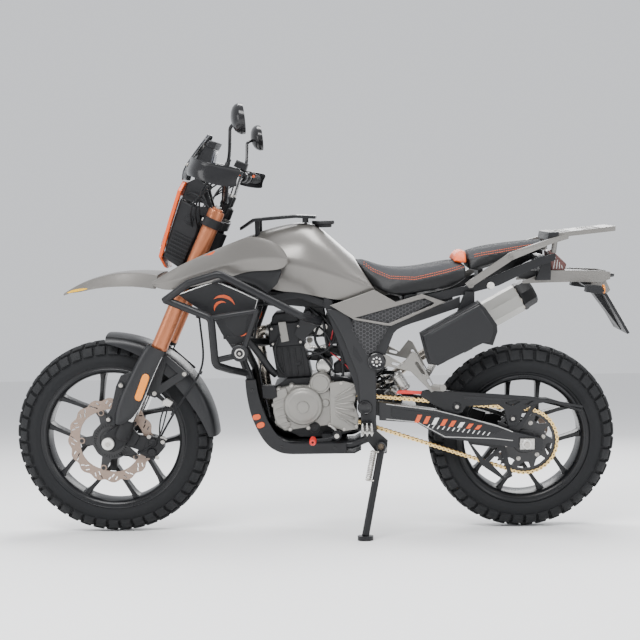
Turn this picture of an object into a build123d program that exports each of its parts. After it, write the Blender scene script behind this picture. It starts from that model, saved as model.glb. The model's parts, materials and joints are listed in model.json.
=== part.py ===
from build123d import *
import math
import os

# Dual sport motorcycle, leaning on its side stand.
#
# The machine is modelled upright: front towards -X, left side towards -Y, ground at z = 0.
# place() then leans it to the left on its stand and puts the origin at the bottom centre of its
# bounding box.  All sizes are millimetres.

os.makedirs("parts", exist_ok=True)

# ---------------------------------------------------------------- driving dimensions
WHEELBASE = 1420
LEAN = 9.0                      # parked lean to the left, degrees
RAKE = 24.8                     # steering axis from the vertical, degrees
FORK_OFFSET = 52.7              # front axle ahead of the steering axis
TUBE_OFFSET = 22                # fork tubes ahead of the steering axis
FORK_SPREAD = 104               # fork tube centre from the middle plane
UPPER_TUBE_R = 27
STANCHION_R = 21.5
FRONT_R, REAR_R = 341, 325      # tyre radii to the lug tips
FRONT_TYRE_W, REAR_TYRE_W = 112, 138
LUG_DEPTH = 11
FRONT_BEAD_R, REAR_BEAD_R = 241, 216
FRONT_RIM_W, REAR_RIM_W = 76, 98
BEAD_GAP = 0.8                  # rim seat below the corners of the tyre's bead
AXLE_R = 10
RUN_CLEARANCE = 0.5             # shaft to bore
CHAIN_PITCH = 15.875
FRONT_TEETH, REAR_TEETH = 16, 44
CHAIN_Y = -90                   # chain line
CHAIN_HALF = 6                  # half the height of a link
CHAIN_WIDE, CHAIN_NARROW = 9.5, 6.0   # half widths of outer and inner links
CHAIN_CLEARANCE = 0.8           # sprocket tips to the links
FRONT_DISC_Y, REAR_DISC_Y = -74, 90
FRONT_DISC_R, REAR_DISC_R = 146, 110
DISC_T = 4.5
SPOKE_FORK = 0.49               # where a wheel's spokes divide, as a share of the bead radius
BAR_KNEE = (-30, 190, 996)      # bend and end of the handlebar in the fork frame
BAR_END = (10, 420, 1006)
PIVOT = (164, 459)              # swingarm pivot (x, z)
COUNTERSHAFT = (105, 455)       # gearbox output shaft (x, z)
SPAR_Y0, SPAR_Y1 = 114, 136     # inner and outer faces of the frame spars
ARM_Y0, ARM_Y1 = 106, 134       # inner and outer faces of the swingarm legs
STAND_PIVOT = (218, -166, 324)
STAND_AXIS = (-0.123, -0.884, 0.451)   # hinge line of the stand, outwards
STAND_PIN_R, STAND_EYE_T = 6, 25
TANK_REAR_X, TANK_REAR_SLOPE = 132, 0.657   # where the rider's seat meets the tank
STAND_HEEL = (160, -286, 58)    # end of the lowered leg, inside its foot
STAND_FOOT_R = 26
STAND_LEG_R = 12

CRADLE_Y, CRADLE_Z, CRADLE_R = 105, 322, 13   # lower frame tubes: side, height, radius
HANGER_Y = 66.3                 # inner face of the engine hanger plates
SHOCK_TUBE_R = 11
STEM_R = 17
PIVOT_BOLT_R = 9
RAIL_Y0, RAIL_Y1 = 118, 130     # subframe rails
CASE_Y = 78                     # half width of the crankcase
RACK_BOLTS = (882, 0)           # centre of the rack's bolt circle (x, y)
RACK_PCD = 140
HUB_LEFT, HUB_RIGHT = 71.7, 40  # bearing seats of the front hub
STAY_Y = 75                     # inner face of the fender stays
PERCH_X = -30                   # lever perches in the fork frame: middle and top
PERCH_TOP = 1020
BAR_R = 11
SIDES = (-1, 1)                 # left, right
FRONT_AXLE = (-710, FRONT_R)
REAR_AXLE = (FRONT_AXLE[0] + WHEELBASE, REAR_R)
SIN_R, COS_R = math.sin(math.radians(RAKE)), math.cos(math.radians(RAKE))

# Fork frame: origin where the steering axis passes the front axle, z up the axis, x to the rear.
FORK = Plane(
    origin=(FRONT_AXLE[0] + FORK_OFFSET * COS_R, 0, FRONT_AXLE[1] - FORK_OFFSET * SIN_R),
    x_dir=(COS_R, 0, -SIN_R),
    z_dir=(SIN_R, 0, COS_R),
)


# ---------------------------------------------------------------- helpers
def prism(outline, y0, y1):
    """Side outline of (x, z) points, extruded across from y0 to y1."""
    low, high = min(y0, y1), max(y0, y1)
    face = make_face(Polyline(*[(x, low, z) for x, z in outline], close=True))
    return extrude(face, high - low, dir=(0, 1, 0))


def both(outline, y0, y1):
    """The same prism on the left and on the right side."""
    return [prism(outline, side * y0, side * y1) for side in SIDES]


def fork_prism(outline, y0, y1):
    """Side outline of (x, z) points in the fork frame, extruded across from y0 to y1."""
    low, high = min(y0, y1), max(y0, y1)
    face = make_face(Polyline(*[(x, low, z) for x, z in outline], close=True))
    return FORK * extrude(face, high - low, dir=(0, 1, 0))


def in_fork(x, y, z):
    """A point given in the fork frame."""
    return tuple(FORK.from_local_coords(Vector(x, y, z)))


def rod(start, end, radius):
    axis = Vector(*end) - Vector(*start)
    return Plane(origin=start, z_dir=axis) * Cylinder(
        radius, axis.length, align=(Align.CENTER, Align.CENTER, Align.MIN)
    )


def cross_rod(x, z, y0, y1, radius):
    """A rod along Y."""
    return rod((x, min(y0, y1), z), (x, max(y0, y1), z), radius)


def tube(points, radius, bend):
    """A round bar along straight runs joined by bends of one radius."""
    path = FilletPolyline(*points, radius=bend)
    section = Plane(origin=path @ 0, z_dir=path % 0) * Circle(radius)
    return sweep(section, path=path)


def fuse(*shapes):
    """One solid out of overlapping ones."""
    whole = shapes[0]
    for shape in shapes[1:]:
        whole = whole + shape
    return whole


def closed(faces):
    """A solid bounded by flat faces."""
    return Solid(Shell(faces))


def flat(*points):
    return Face(Wire.make_polygon([Vector(*p) for p in points], close=True))


def quad(a, b, c, d):
    """Four points as one flat face, or as two triangles where they are not in one plane."""
    pa, pb, pc, pd = Vector(*a), Vector(*b), Vector(*c), Vector(*d)
    normal = (pb - pa).cross(pc - pa)
    if normal.length > 1e-6 and abs((pd - pa).dot(normal.normalized())) < 1e-4:
        return [flat(a, b, c, d)]
    return [flat(a, b, c), flat(a, c, d)]


def skin(sections):
    """A solid through like-numbered closed sections, each a list of points."""
    faces = []
    count = len(sections[0])
    for near, far in zip(sections, sections[1:]):
        for k in range(count):
            m = (k + 1) % count
            faces += quad(near[k], near[m], far[m], far[k])
    faces += [flat(*sections[0]), flat(*sections[-1])]
    return closed(faces)


def ring(axle, profile, steps, start=0.0, turn=360.0):
    """Profile of (radius, y) points carried round the axle in flat facets.

    Angles run from the rear (+X) upwards; a part turn is closed by its end faces.
    """
    def point(r, y, angle):
        a = math.radians(angle)
        return (axle[0] + r * math.cos(a), y, axle[1] + r * math.sin(a))

    full = turn == 360.0
    angles = [start + turn * k / steps for k in range(steps + 1)]
    sections = [[point(r, y, a) for r, y in profile] for a in angles]
    if not full:
        return skin(sections)
    sections[-1] = sections[0]
    faces = []
    for near, far in zip(sections, sections[1:]):
        for k in range(len(profile)):
            m = (k + 1) % len(profile)
            faces += quad(near[k], near[m], far[m], far[k])
    return closed(faces)


def polar(axle, radius, degrees):
    a = math.radians(degrees)
    return (axle[0] + radius * math.cos(a), axle[1] + radius * math.sin(a))


# ---------------------------------------------------------------- tyres
def tyre(axle, radius, width, bead_r, rim_w, pitches):
    """Carcass and block tread as one height field of flat cells.

    Across the tyre each strip of cells carries a lug on even steps, on odd steps or never.
    """
    base = radius - LUG_DEPTH
    half = width / 2 - 0.8 * LUG_DEPTH
    # columns: radius below the tread, y from the middle, and the step on which this strip,
    # up to the next row, carries a lug (0, 1 or None)
    half_rows = [
        (bead_r, rim_w / 2 - 8.5, None),
        (bead_r + 0.45 * (base - bead_r), half - 3, None),
        (base - 0.30 * half, half - 2, 0),
        (base - 0.10 * half, 0.72 * half, None),
        (base - 0.05 * half, 0.56 * half, 1),
        (base, 0.08 * half, None),
    ]
    rows = [(r, -y, lug) for r, y, lug in half_rows]
    back = half_rows[::-1]
    rows += [(r, y, nxt[2]) for (r, y, _), nxt in zip(back, back[1:] + [(0, 0, None)])]
    # the right half carries its middle lugs half a pitch later
    rows = [
        (r, y, None if lug is None else (lug if y < 0 or lug == 0 else 0)) for r, y, lug in rows
    ]
    steps = 2 * pitches
    count = len(rows)

    def point(step, row, raised):
        r, y, _ = rows[row]
        before, after = rows[max(row - 1, 0)], rows[min(row + 1, count - 1)]
        dr, dy = after[0] - before[0], after[1] - before[1]
        size = math.hypot(dr, dy)
        lift = LUG_DEPTH if raised else 0.0
        r, y = r + lift * dy / size, y - lift * dr / size
        a = 2 * math.pi * step / steps
        return (axle[0] + r * math.cos(a), y, axle[1] + r * math.sin(a))

    def raised(step, row):
        lug = rows[row][2] if 0 <= row < count - 1 else None
        return lug is not None and step % 2 == lug

    faces = []
    for step in range(steps):
        nxt = (step + 1) % steps
        for row in range(count - 1):
            up = raised(step, row)
            faces += quad(point(step, row, up), point(nxt, row, up),
                          point(nxt, row + 1, up), point(step, row + 1, up))
            if up:
                for edge in (row, row + 1):
                    faces += quad(point(step, edge, False), point(nxt, edge, False),
                                  point(nxt, edge, True), point(step, edge, True))
                for end in (step, nxt):
                    faces += quad(point(end, row, False), point(end, row + 1, False),
                                  point(end, row + 1, True), point(end, row, True))
        # the bead seat closes the carcass on the inside
        faces += quad(point(step, 0, False), point(nxt, 0, False),
                      point(nxt, count - 1, False), point(step, count - 1, False))
    return closed(faces)


# ---------------------------------------------------------------- wheels
def rim(axle, bead_r, rim_w, spread, first, hub_r, hub_half, seat_half, bore_r):
    """Cast wheel: rim well, five forked spokes and a hub with its bearing bore."""
    half = rim_w / 2
    lip, seat, well, inner = bead_r + 15, bead_r - BEAD_GAP, bead_r - 6, bead_r - 14
    barrel = ring(axle, [
        (lip, -half - 4), (lip, -half + 2), (seat, -half + 3), (seat, -half + 14), (well, -half + 20),
        (well, half - 20), (seat, half - 14), (seat, half - 3), (lip, half - 2), (lip, half + 4),
        (inner + 2, half + 2), (inner, half - 16), (inner, -half + 16), (inner + 2, -half - 2),
    ], 40)
    solid = fuse(barrel, cross_rod(*axle, -hub_half, hub_half, hub_r))
    def bar(start, end, columns):
        """Tapered bar in the wheel's plane; columns: place along it, half width, half depth."""
        start, end = Vector(start[0], 0, start[1]), Vector(end[0], 0, end[1])
        side = (end - start).normalized().cross(Vector(0, 1, 0))
        return skin([[tuple(start + (end - start) * share + side * (wide * s) + Vector(0, deep * d, 0))
                      for s, d in ((-1, -1), (1, -1), (1, 1), (-1, 1))]
                     for share, wide, deep in columns])

    fork = SPOKE_FORK * bead_r
    for k in range(5):
        centre = first + 72 * k
        solid = solid + bar(polar(axle, hub_r - 6, centre), polar(axle, fork + 4, centre),
                            ((0, 17, 26), (1, 12, 21)))
        for arm in SIDES:
            solid = solid + bar(polar(axle, fork - 12, centre + arm * 2),
                                polar(axle, inner + 6, centre + arm * spread),
                                ((0, 8, 21), (0.5, 7, 18), (1, 10, 24)))
    solid = solid + cross_rod(*axle, -seat_half[0], seat_half[1], 0.62 * hub_r)
    return solid - cross_rod(*axle, -200, 200, bore_r)


def wave_disc(axle, y, radius, waves, ring_w, hub_r, arms, bore_r):
    """Brake disc: scalloped ring with slanted slots, on a carrier with straight arms."""
    def outline(r, depth):
        steps = 4 * waves
        return [polar(axle, r - depth * (k % 4 in (2,)) - 0.3 * depth * (k % 4 in (1, 3)),
                      360 * k / steps) for k in range(steps)]

    inner = radius - ring_w
    plate = prism(outline(radius, 7), y - DISC_T / 2, y + DISC_T / 2)
    plate -= cross_rod(*axle, y - DISC_T, y + DISC_T, inner)
    for k in range(waves):
        spot = 360 * k / waves
        slot = [polar(axle, inner + a * ring_w, spot + b) for a, b in
                ((0.34, -3.4), (0.44, -4.2), (0.76, 3.4), (0.66, 4.2))]
        plate -= prism(slot, y - DISC_T, y + DISC_T)
    carrier = cross_rod(*axle, y - DISC_T / 2, y + DISC_T / 2, hub_r)
    for k in range(arms):
        centre = 360 * (k + 0.5) / arms
        corners = [polar(axle, hub_r - 6, centre - 16), polar(axle, inner + 7, centre - 5),
                   polar(axle, inner + 7, centre + 5), polar(axle, hub_r - 6, centre + 16)]
        carrier += prism(corners, y - DISC_T / 2, y + DISC_T / 2)
    return plate + carrier - cross_rod(*axle, y - 20, y + 20, bore_r)


def sprocket(axle, y, teeth, thick, hub_r, bore_r):
    pitch_r = CHAIN_PITCH / 2 / math.sin(math.pi / teeth)
    tip = (pitch_r - CHAIN_HALF) * math.cos(math.pi / teeth) - CHAIN_CLEARANCE
    root = tip - 5
    outline = []
    for k in range(teeth):
        for r, share in ((tip, 0.0), (root, 0.5)):
            outline.append(polar(axle, r, 360 * (k + share) / teeth))
    plate = prism(outline, y - thick / 2, y + thick / 2)
    for k in range(6):
        window = [polar(axle, root - 13, 60 * k + 10), polar(axle, root - 13, 60 * k + 50),
                  polar(axle, hub_r + 8, 60 * k + 42), polar(axle, hub_r + 8, 60 * k + 18)]
        plate -= prism(window, y - thick, y + thick)
    return plate - cross_rod(*axle, y - 30, y + 30, bore_r)


# ---------------------------------------------------------------- chain
def chain():
    """The drive chain as one loop of alternately wide and narrow links."""
    front_r = CHAIN_PITCH / 2 / math.sin(math.pi / FRONT_TEETH)
    rear_r = CHAIN_PITCH / 2 / math.sin(math.pi / REAR_TEETH)
    dx, dz = REAR_AXLE[0] - COUNTERSHAFT[0], REAR_AXLE[1] - COUNTERSHAFT[1]
    reach = math.hypot(dx, dz)
    heading = math.atan2(dz, dx)
    flare = math.asin((rear_r - front_r) / reach)
    run = math.sqrt(reach ** 2 - (rear_r - front_r) ** 2)
    # the loop: upper run to the rear, round the rear sprocket, lower run back, front sprocket
    up, down = heading + math.pi / 2 + flare, heading - math.pi / 2 - flare
    rear_arc, front_arc = rear_r * (up - down), front_r * (2 * math.pi - (up - down))
    total = 2 * run + rear_arc + front_arc
    links = 2 * round(total / CHAIN_PITCH / 2)

    def on_loop(s):
        """Place and outward direction at the length s along the loop."""
        s %= total
        if s < run:
            out, share = up, s / run
            r = front_r + (rear_r - front_r) * share
            x = COUNTERSHAFT[0] + dx * share + r * math.cos(out)
            return x, COUNTERSHAFT[1] + dz * share + r * math.sin(out), out
        s -= run
        if s < rear_arc:
            out = up - s / rear_r
            return (*polar(REAR_AXLE, rear_r, math.degrees(out)), out)
        s -= rear_arc
        if s < run:
            out, share = down, 1 - s / run
            r = front_r + (rear_r - front_r) * share
            x = COUNTERSHAFT[0] + dx * share + r * math.cos(out)
            return x, COUNTERSHAFT[1] + dz * share + r * math.sin(out), out
        out = down - (s - run) / front_r
        return (*polar(COUNTERSHAFT, front_r, math.degrees(out)), out)

    across = (-CHAIN_WIDE, -CHAIN_NARROW, CHAIN_NARROW, CHAIN_WIDE)
    pins = []                   # at each pin a row of points inside and outside the loop
    for k in range(links):
        x, z, out = on_loop(total * k / links)
        pins.append([
            [(x + h * math.cos(out), CHAIN_Y + w, z + h * math.sin(out)) for w in across]
            for h in (-CHAIN_HALF, CHAIN_HALF)
        ])
    faces = []
    for k in range(links):
        near, far = pins[k], pins[(k + 1) % links]
        first, last = (0, 3) if k % 2 else (1, 2)
        for level in (0, 1):    # under and upper side of the link
            faces.append(flat(*near[level][first:last + 1], *far[level][first:last + 1][::-1]))
        for edge in (first, last):
            faces.append(flat(near[0][edge], near[1][edge], far[1][edge], far[0][edge]))
        for low in (0, 2):      # steps between a wide link and a narrow one
            faces.append(flat(near[0][low], near[1][low], near[1][low + 1], near[0][low + 1]))
    return closed(faces)


# ---------------------------------------------------------------- frame
def main_frame():
    """Head tube, spine, cradle tubes and the two spars that hold the swingarm pivot."""
    head = FORK * Pos(0, 0, 727) * Cylinder(30, 150)
    spine = prism([(-352, 968), (70, 814), (62, 776), (-378, 912)], -22, 22)
    frame = fuse(head, spine)
    spar = [(30, 812), (72, 800), (120, 702), (195, 652), (236, 640), (240, 595), (205, 574),
            (200, 440), (206, 342), (166, 338), (148, 440), (126, 548)]
    for plate in both(spar, SPAR_Y0, SPAR_Y1):
        frame += plate
    # columns: x, z, radius of the cross tubes between the spars
    for x, z, radius in ((52, 792, 15), (104, 706, SHOCK_TUBE_R), (184, 353, 9)):
        frame += cross_rod(x, z, -SPAR_Y0 - 2, SPAR_Y0 + 2, radius)
    for side in SIDES:
        cradle = [(-359, side * 14, 939), (-300, side * 60, 745), (-224, side * 100, 560),
                  (-200, side * CRADLE_Y, 400), (-130, side * CRADLE_Y, CRADLE_Z),
                  (120, side * CRADLE_Y, CRADLE_Z), (180, side * 120, 350)]
        frame += tube(cradle, CRADLE_R, 38)
        hanger = [(-62, 836), (24, 808), (32, 735), (0, 722), (-44, 676), (-72, 700), (-34, 790)]
        frame += prism(hanger, side * HANGER_Y, side * (HANGER_Y + 6))
        frame += prism([(32, 811), (60, 803), (60, 819.7), (32, 831.5)], side * 121, side * 135)
    frame += cross_rod(-20, 812, -70, 70, 10)
    frame -= FORK * Pos(0, 0, 727) * Cylinder(STEM_R + RUN_CLEARANCE, 200)
    frame -= cross_rod(*PIVOT, -200, 200, PIVOT_BOLT_R + RUN_CLEARANCE)
    return frame


def subframe():
    """Rails under the seats with the brace down to the spar."""
    rail = [(72.4, 800), (300, 818), (500, 862), (600, 896), (757, 958), (800, 966), (800, 944),
            (757, 930), (612, 862), (500, 834), (300, 792), (82, 780)]
    brace = [(199, 652.5), (236, 640.5), (300, 796), (276, 796)]
    rails = both(rail, RAIL_Y0, RAIL_Y1)
    braces = both(brace, RAIL_Y0, RAIL_Y1)
    whole = fuse(*rails, *braces)
    # columns: x, z, radius of the cross tubes
    for x, z, radius in ((300, 806, 11), (560, 868, 10), (770, 948, 10)):
        whole += cross_rod(x, z, -RAIL_Y0 - 2, RAIL_Y0 + 2, radius)
    # pads below the two seats
    for side in SIDES:
        whole += prism([(300, 816), (340, 824), (340, 838.9), (300, 832.2)], side * RAIL_Y0, side * RAIL_Y1)
    whole += prism([(552, 872), (568, 872), (568, 920.3), (552, 915.7)], -60, 60)
    return whole


def swingarm():
    """Two tapered legs on a pivot sleeve, joined by a cross box ahead of the tyre."""
    ax, az = REAR_AXLE
    leg = [(212, 474), (416, 443), (ax - 58, az + 45), (ax + 58, az + 15), (ax + 55, az - 27),
           (ax - 47, az - 12), (428, 348), (338, 402), (212, 412)]
    neck = [(146, 476), (240, 472), (240, 414), (146, 442)]
    whole = cross_rod(*PIVOT, -SPAR_Y0 + 0.3, SPAR_Y0 - 0.3, 19)
    for plate in both(neck, ARM_Y0 - 3, SPAR_Y0 - 0.3) + both(leg, ARM_Y0 - 3, ARM_Y1):
        whole += plate
    whole += prism([(262, 456), (340, 448), (340, 408), (262, 410)], -ARM_Y0, ARM_Y0)
    whole -= cross_rod(*PIVOT, -200, 200, PIVOT_BOLT_R + RUN_CLEARANCE)
    high = AXLE_R + 0.3
    slot = [(ax - 24, az - high), (ax + 24, az - high), (ax + 24, az + high), (ax - 24, az + high)]
    return whole - prism(slot, -200, 200)


def pivot_bolt():
    """Swingarm pivot bolt with its two caps on the spars."""
    return fuse(
        cross_rod(*PIVOT, -SPAR_Y1 - 4, SPAR_Y1 + 4, PIVOT_BOLT_R),
        cross_rod(*PIVOT, -SPAR_Y1 - 12, -SPAR_Y1 - 0.3, 25),
        cross_rod(*PIVOT, SPAR_Y1 + 0.3, SPAR_Y1 + 12, 25),
    )


def rear_axle():
    """Axle, its spacers to the hub and the adjuster blocks on the legs."""
    whole = cross_rod(*REAR_AXLE, -ARM_Y1 - 16, ARM_Y1 + 16, AXLE_R)
    for side in SIDES:
        x, z = REAR_AXLE
        block = [(x - 22, z - 19), (x + 26, z - 19), (x + 26, z + 19), (x - 22, z + 19)]
        whole += prism(block, side * (ARM_Y1 + 0.3), side * (ARM_Y1 + 8))
    return whole


def rear_shock():
    """Spring leg between the frame cross tube and the swingarm, with its reservoir."""
    top, foot = (110.6, 0, 696.9), (283, 0, 462)
    spring = rod((134, 0, 665), (262, 0, 490), 33)
    body = fuse(rod(top, foot, 12), spring)
    arm = rod((220, 0, 552), (275, -64, 552), 10)
    reservoir = rod((270, -64, 560), (302, -64, 506), 20)
    return fuse(body, arm, reservoir)


# ---------------------------------------------------------------- engine


def crankcase():
    """Crankcase with the starter motor and the output sprocket."""
    outline = [(-140, 470), (-146, 521), (-100, 548), (60, 556), (120, 545), (140, 520),
               (136, 400), (118, 362), (60, CRADLE_Z + 24), (-60, CRADLE_Z + 24), (-118, 378)]
    case = prism(outline, -CASE_Y, CASE_Y)
    starter = cross_rod(27, 590, -CASE_Y + 6, 30, 29)
    saddle = prism([(6, 550), (50, 550), (44, 575), (12, 575)], -60, 20)
    shaft = cross_rod(*COUNTERSHAFT, CHAIN_Y - 6, -CASE_Y + 2, 16)
    lugs = both([(18, CRADLE_Z + CRADLE_R + 0.3), (48, CRADLE_Z + CRADLE_R + 0.3), (48, 362), (18, 362)], 60, 112)
    return fuse(case, saddle, starter, shaft, *lugs, cross_rod(*COUNTERSHAFT, CHAIN_Y - 3.5, CHAIN_Y + 3.5, 26))


def left_engine_cover():
    """Generator cover, ribbed front lobe, starter gear cover and ribbed sprocket cover."""
    face = -CASE_Y - 0.3
    generator = fuse(cross_rod(-45, 460, face, face - 44, 67), cross_rod(-45, 460, face, face - 52, 48),
                     cross_rod(-45, 460, face, face - 58, 20))
    lobe = prism([(-100, 378), (-128, 400), (-146, 440), (-148, 486), (-132, 512), (-96, 524)], face, face - 26)
    whole = fuse(generator, lobe, cross_rod(14, 536, face, face - 30, 37),
                 prism([(-60, 500), (6, 560), (50, 520), (50, 400), (0, 385)], face, face - 20))
    for k in range(4):
        rib = rod((-142 + 8 * k, face - 26, 478 - 26 * k), (-98 + 6 * k, face - 26, 498 - 30 * k), 4)
        whole += rib
    cover_in = CHAIN_Y - CHAIN_WIDE - 2.5
    cover = [(46, 538), (138, 530), (128, 462), (146, 420), (134, 372), (96, 372), (46, 392)]
    whole += prism(cover, cover_in, cover_in - 9)
    whole += prism([(46, 538), (56, 537), (56, 388), (46, 392)], face, cover_in - 9)
    for k in range(5):
        z = 400 + 28 * k
        whole += rod((60, cover_in - 9, z), (124, cover_in - 9, z - 6), 3.5)
    return whole


def right_engine_cover():
    """Clutch cover with the water pump and the oil filler."""
    face = CASE_Y + 0.3
    return fuse(
        cross_rod(62, 455, face, face + 34, 74),
        cross_rod(62, 455, face, face + 42, 52),
        prism([(-130, 420), (-110, 515), (10, 528), (10, 380), (-90, 380)], face, face + 20),
        cross_rod(-70, 452, face, face + 40, 34),
        cross_rod(-20, 505, face, face + 30, 13),
    )


def cylinder_head():
    """Cylinder, head and cam cover, leaning a little forwards, with flange and inlet stub."""
    barrel = prism([(-134, 548.3), (-100, 548.3), (-18, 552.5), (-40, 664), (-150, 656)], -58, 58)
    head = prism([(-158, 656), (-38, 664), (-50, 742), (-162, 730)], -66, 66)
    cover = prism([(-154, 730), (-56, 742), (-66, 776), (-146, 768)], -54, 54)
    inlet = rod((-50, 0, 704), (30, 0, 716), 25)
    outlet = rod((-150, 24, 700), (-176, 24, 703), 26)
    return fuse(barrel, head, cover, inlet, outlet)


def air_box():
    """Air box between the spars with the throttle body's boot."""
    return prism([(34.5, 664), (88, 664), (88, 746), (70, 766), (34.5, 766)], -60, 60)


def exhaust():
    """Header round the right side of the engine and the silencer under the seat."""
    pipe = tube([(-176.3, 24, 703), (-206, 24, 706), (-186, 34, 560), (-176, 60, 446), (-140, 142, 420),
                 (0, 160, 404), (190, 170, 450), (320, 168, 552), (560, 190, 700)], 18, 19)
    start, along = Vector(540, 188, 688), Vector(0.879, 0.04, 0.475).normalized()
    can = rod(tuple(start), tuple(start + along * 215), 48)
    cap = rod(tuple(start + along * 214), tuple(start + along * 262), 44)
    outlet = rod(tuple(start + along * 236), tuple(start + along * 272), 20)
    nose = Plane(origin=tuple(start - along * 48), z_dir=along) * Cone(
        20, 48, 50, align=(Align.CENTER, Align.CENTER, Align.MIN))
    return fuse(pipe, nose, can, cap) - rod(tuple(start + along * 240), tuple(start + along * 280), 22)


def skid_plate():
    """Bent guard below and ahead of the cradle."""
    outer = [(-248, 558), (-246, 498), (-222, 392), (-150, 300), (128, 296), (150, 308)]
    inner = [(146, 317), (126, 303), (-146, 307), (-215, 396), (-238, 500), (-240, 558)]
    sheet = prism(outer + inner, -CRADLE_Y - 20, CRADLE_Y + 20)
    wall = [(-240, 558), (-238, 500), (-215, 396), (-146, 305), (100, 301), (100, 336),
            (3, 338), (-106, 340), (-146, 372), (-184, 446), (-200, 520), (-204, 558)]
    for side in SIDES:
        sheet += prism(wall, side * (CRADLE_Y + CRADLE_R + 0.3), side * (CRADLE_Y + 20))
    return sheet


def radiators():
    """A radiator on each side of the down tubes, with upper and lower tanks."""
    pair = []
    for side in SIDES:
        core = prism([(-313, 858), (-285, 858), (-271, 712), (-299, 712)], side * 90, side * 164)
        upper = prism([(-318, 872), (-280, 872), (-279, 852), (-317, 852)], side * 86, side * 168)
        lower = prism([(-303, 722), (-266, 722), (-264, 700), (-301, 700)], side * 86, side * 168)
        tab = cross_rod(-300, 745, side * 74.5, side * 92, 7)
        pair.append(fuse(core, upper, lower, tab))
    return pair


def radiator_covers():
    """Side covers outside the radiator tanks, held on their inner ribs."""
    panel = [(-446, 850), (-318, 896), (-178, 832), (-192, 792), (-226, 690), (-280, 682), (-330, 772)]
    whole = []
    for side in SIDES:
        cover = prism(panel, side * 172, side * 180)
        for x, z in ((-299, 862), (-284, 711)):
            cover += cross_rod(x, z, side * 168.3, side * 174, 9)
        whole.append(cover)
    return whole


# ---------------------------------------------------------------- guards
def crash_bars():
    """Tube guards outside the radiator covers, with their slider pucks."""
    bars = []
    for side in SIDES:
        loop = tube([(-486, side * 196, 832), (-400, side * 230, 892), (-298, side * 246, 922),
                     (-40, side * 236, 782), (13, side * 160, 752), (13, side * (HANGER_Y + 6.3), 752)], 12.5, 30)
        front = tube([(-484, side * 194, 836), (-330, side * 240, 780), (-321, side * 240, 625),
                      (-276, side * 190, 600), (-236, side * 130, 580)], 12.5, 24)
        cross = rod((-322, side * 236, 640), (-246, side * 205, 652), 10)
        top_bar = rod((-330, side * 240, 780), (-182, side * 238, 800), 8)
        strut = rod((-182, side * 238, 800), (-236, side * 207, 655), 9)
        corner = Pos(-182, side * 238, 800) * Sphere(9)
        puck = cross_rod(-243, 660, side * 192, side * 222, 26)
        bars.append(fuse(loop, front, cross, puck, top_bar, strut, corner))
    return bars


# ---------------------------------------------------------------- tank, seats and bodywork
def tank_section(x, top_z, top_w, mid_z, mid_w, low_z, low_w, roof_z, slope=0.0):
    """Closed section of the saddle tank: arched top, wide shoulders, hollow over the spine.

    A sloping section stands further back the lower it is.
    """
    def point(y, z):
        return (x + slope * (top_z - z), y, z)

    half = [(top_w, top_z - 4), (mid_w, mid_z), (low_w, low_z), (low_w - 22, low_z), (32, roof_z)]
    left = [point(-y, z) for y, z in half]
    right = [point(y, z) for y, z in reversed(half)]
    return [point(0, top_z)] + right[::-1] + [point(0, roof_z)] + left[::-1]


def fuel_tank():
    # columns: x, top z, top half width, shoulder z, half width, lower z, half width, tunnel roof z
    return skin([tank_section(*row) for row in (
        (-212, 1036, 46, 985, 96, 940, 92, 930),
        (-140, 1062, 60, 1000, 146, 848, 140, 905),
        (-30, 1080, 62, 985, 158, 852, 152, 862),
        (60, 1020, 52, 936, 148, 812, 142, 832, 0.25),
        (TANK_REAR_X, 958, 44, 904, 114, 856, 130, 858, TANK_REAR_SLOPE),
    )])


def tank_rack():
    """Small rack over the tank: a plate with a window on four feet."""
    tank = fuel_tank()
    top = skin([[(x, s * w, z + t) for s, t in ((-1, 0), (1, 0), (1, 10), (-1, 10))]
                for x, z, w in ((-250, 1052, 40), (-205, 1081, 66), (-60, 1092, 70), (6, 1088, 56))])
    window = prism([(-178, 1060), (-60, 1060), (-60, 1120), (-178, 1120)], -38, 38)
    top -= window
    for x, y in ((-190, 50), (-30, 52)):
        for side in SIDES:
            top += rod((x, side * y, 1030), (x, side * y, 1092), 8) - tank
    return top


def front_shrouds():
    """Gray wings from beside the headlight back to the tank shoulders."""
    wings, tank = [], fuel_tank()
    for side in SIDES:
        # columns: x, upper z, lower z, y outside
        rows = ((-519.7, 902, 866, 157), (-436, 948, 872, 176), (-330, 994, 890, 198),
                (-220, 1040, 926, 200), (-110, 1012, 926, 206), (-82, 962, 946, 210))
        sections = []
        for x, top, low, y in rows:
            sections.append([(x, side * (y - 10), top), (x, side * (y - 2), top - 2), (x, side * y, (top + low) / 2),
                             (x, side * (y - 4), low), (x, side * (y - 12), low + 2), (x, side * (y - 9), (top + low) / 2)])
        wing = skin(sections)
        for x, z in ((-190, 985), (-110, 975)):
            wing += cross_rod(x, z, side * 100, side * 198, 7) - tank
        wings.append(wing)
    return wings


def beak():
    """High front fender between the wings, open below."""
    # columns: x, ridge z, edge z, half width
    rows = ((-860, 846, 838, 20), (-800, 880, 852, 44), (-725, 906, 868, 62), (-600, 920, 874, 92),
            (-560, 920, 872, 118), (-520, 912, 868, 156))
    sections = []
    for x, ridge, edge, w in rows:
        sections.append([(x, 0, ridge), (x, w * 0.7, ridge - 4), (x, w, edge), (x, w - 5, edge),
                         (x, w * 0.7 - 5, ridge - 9), (x, 0, ridge - 5),
                         (x, -w * 0.7 + 5, ridge - 9), (x, -w + 5, edge), (x, -w, edge), (x, -w * 0.7, ridge - 4)])
    return skin(sections)


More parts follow.
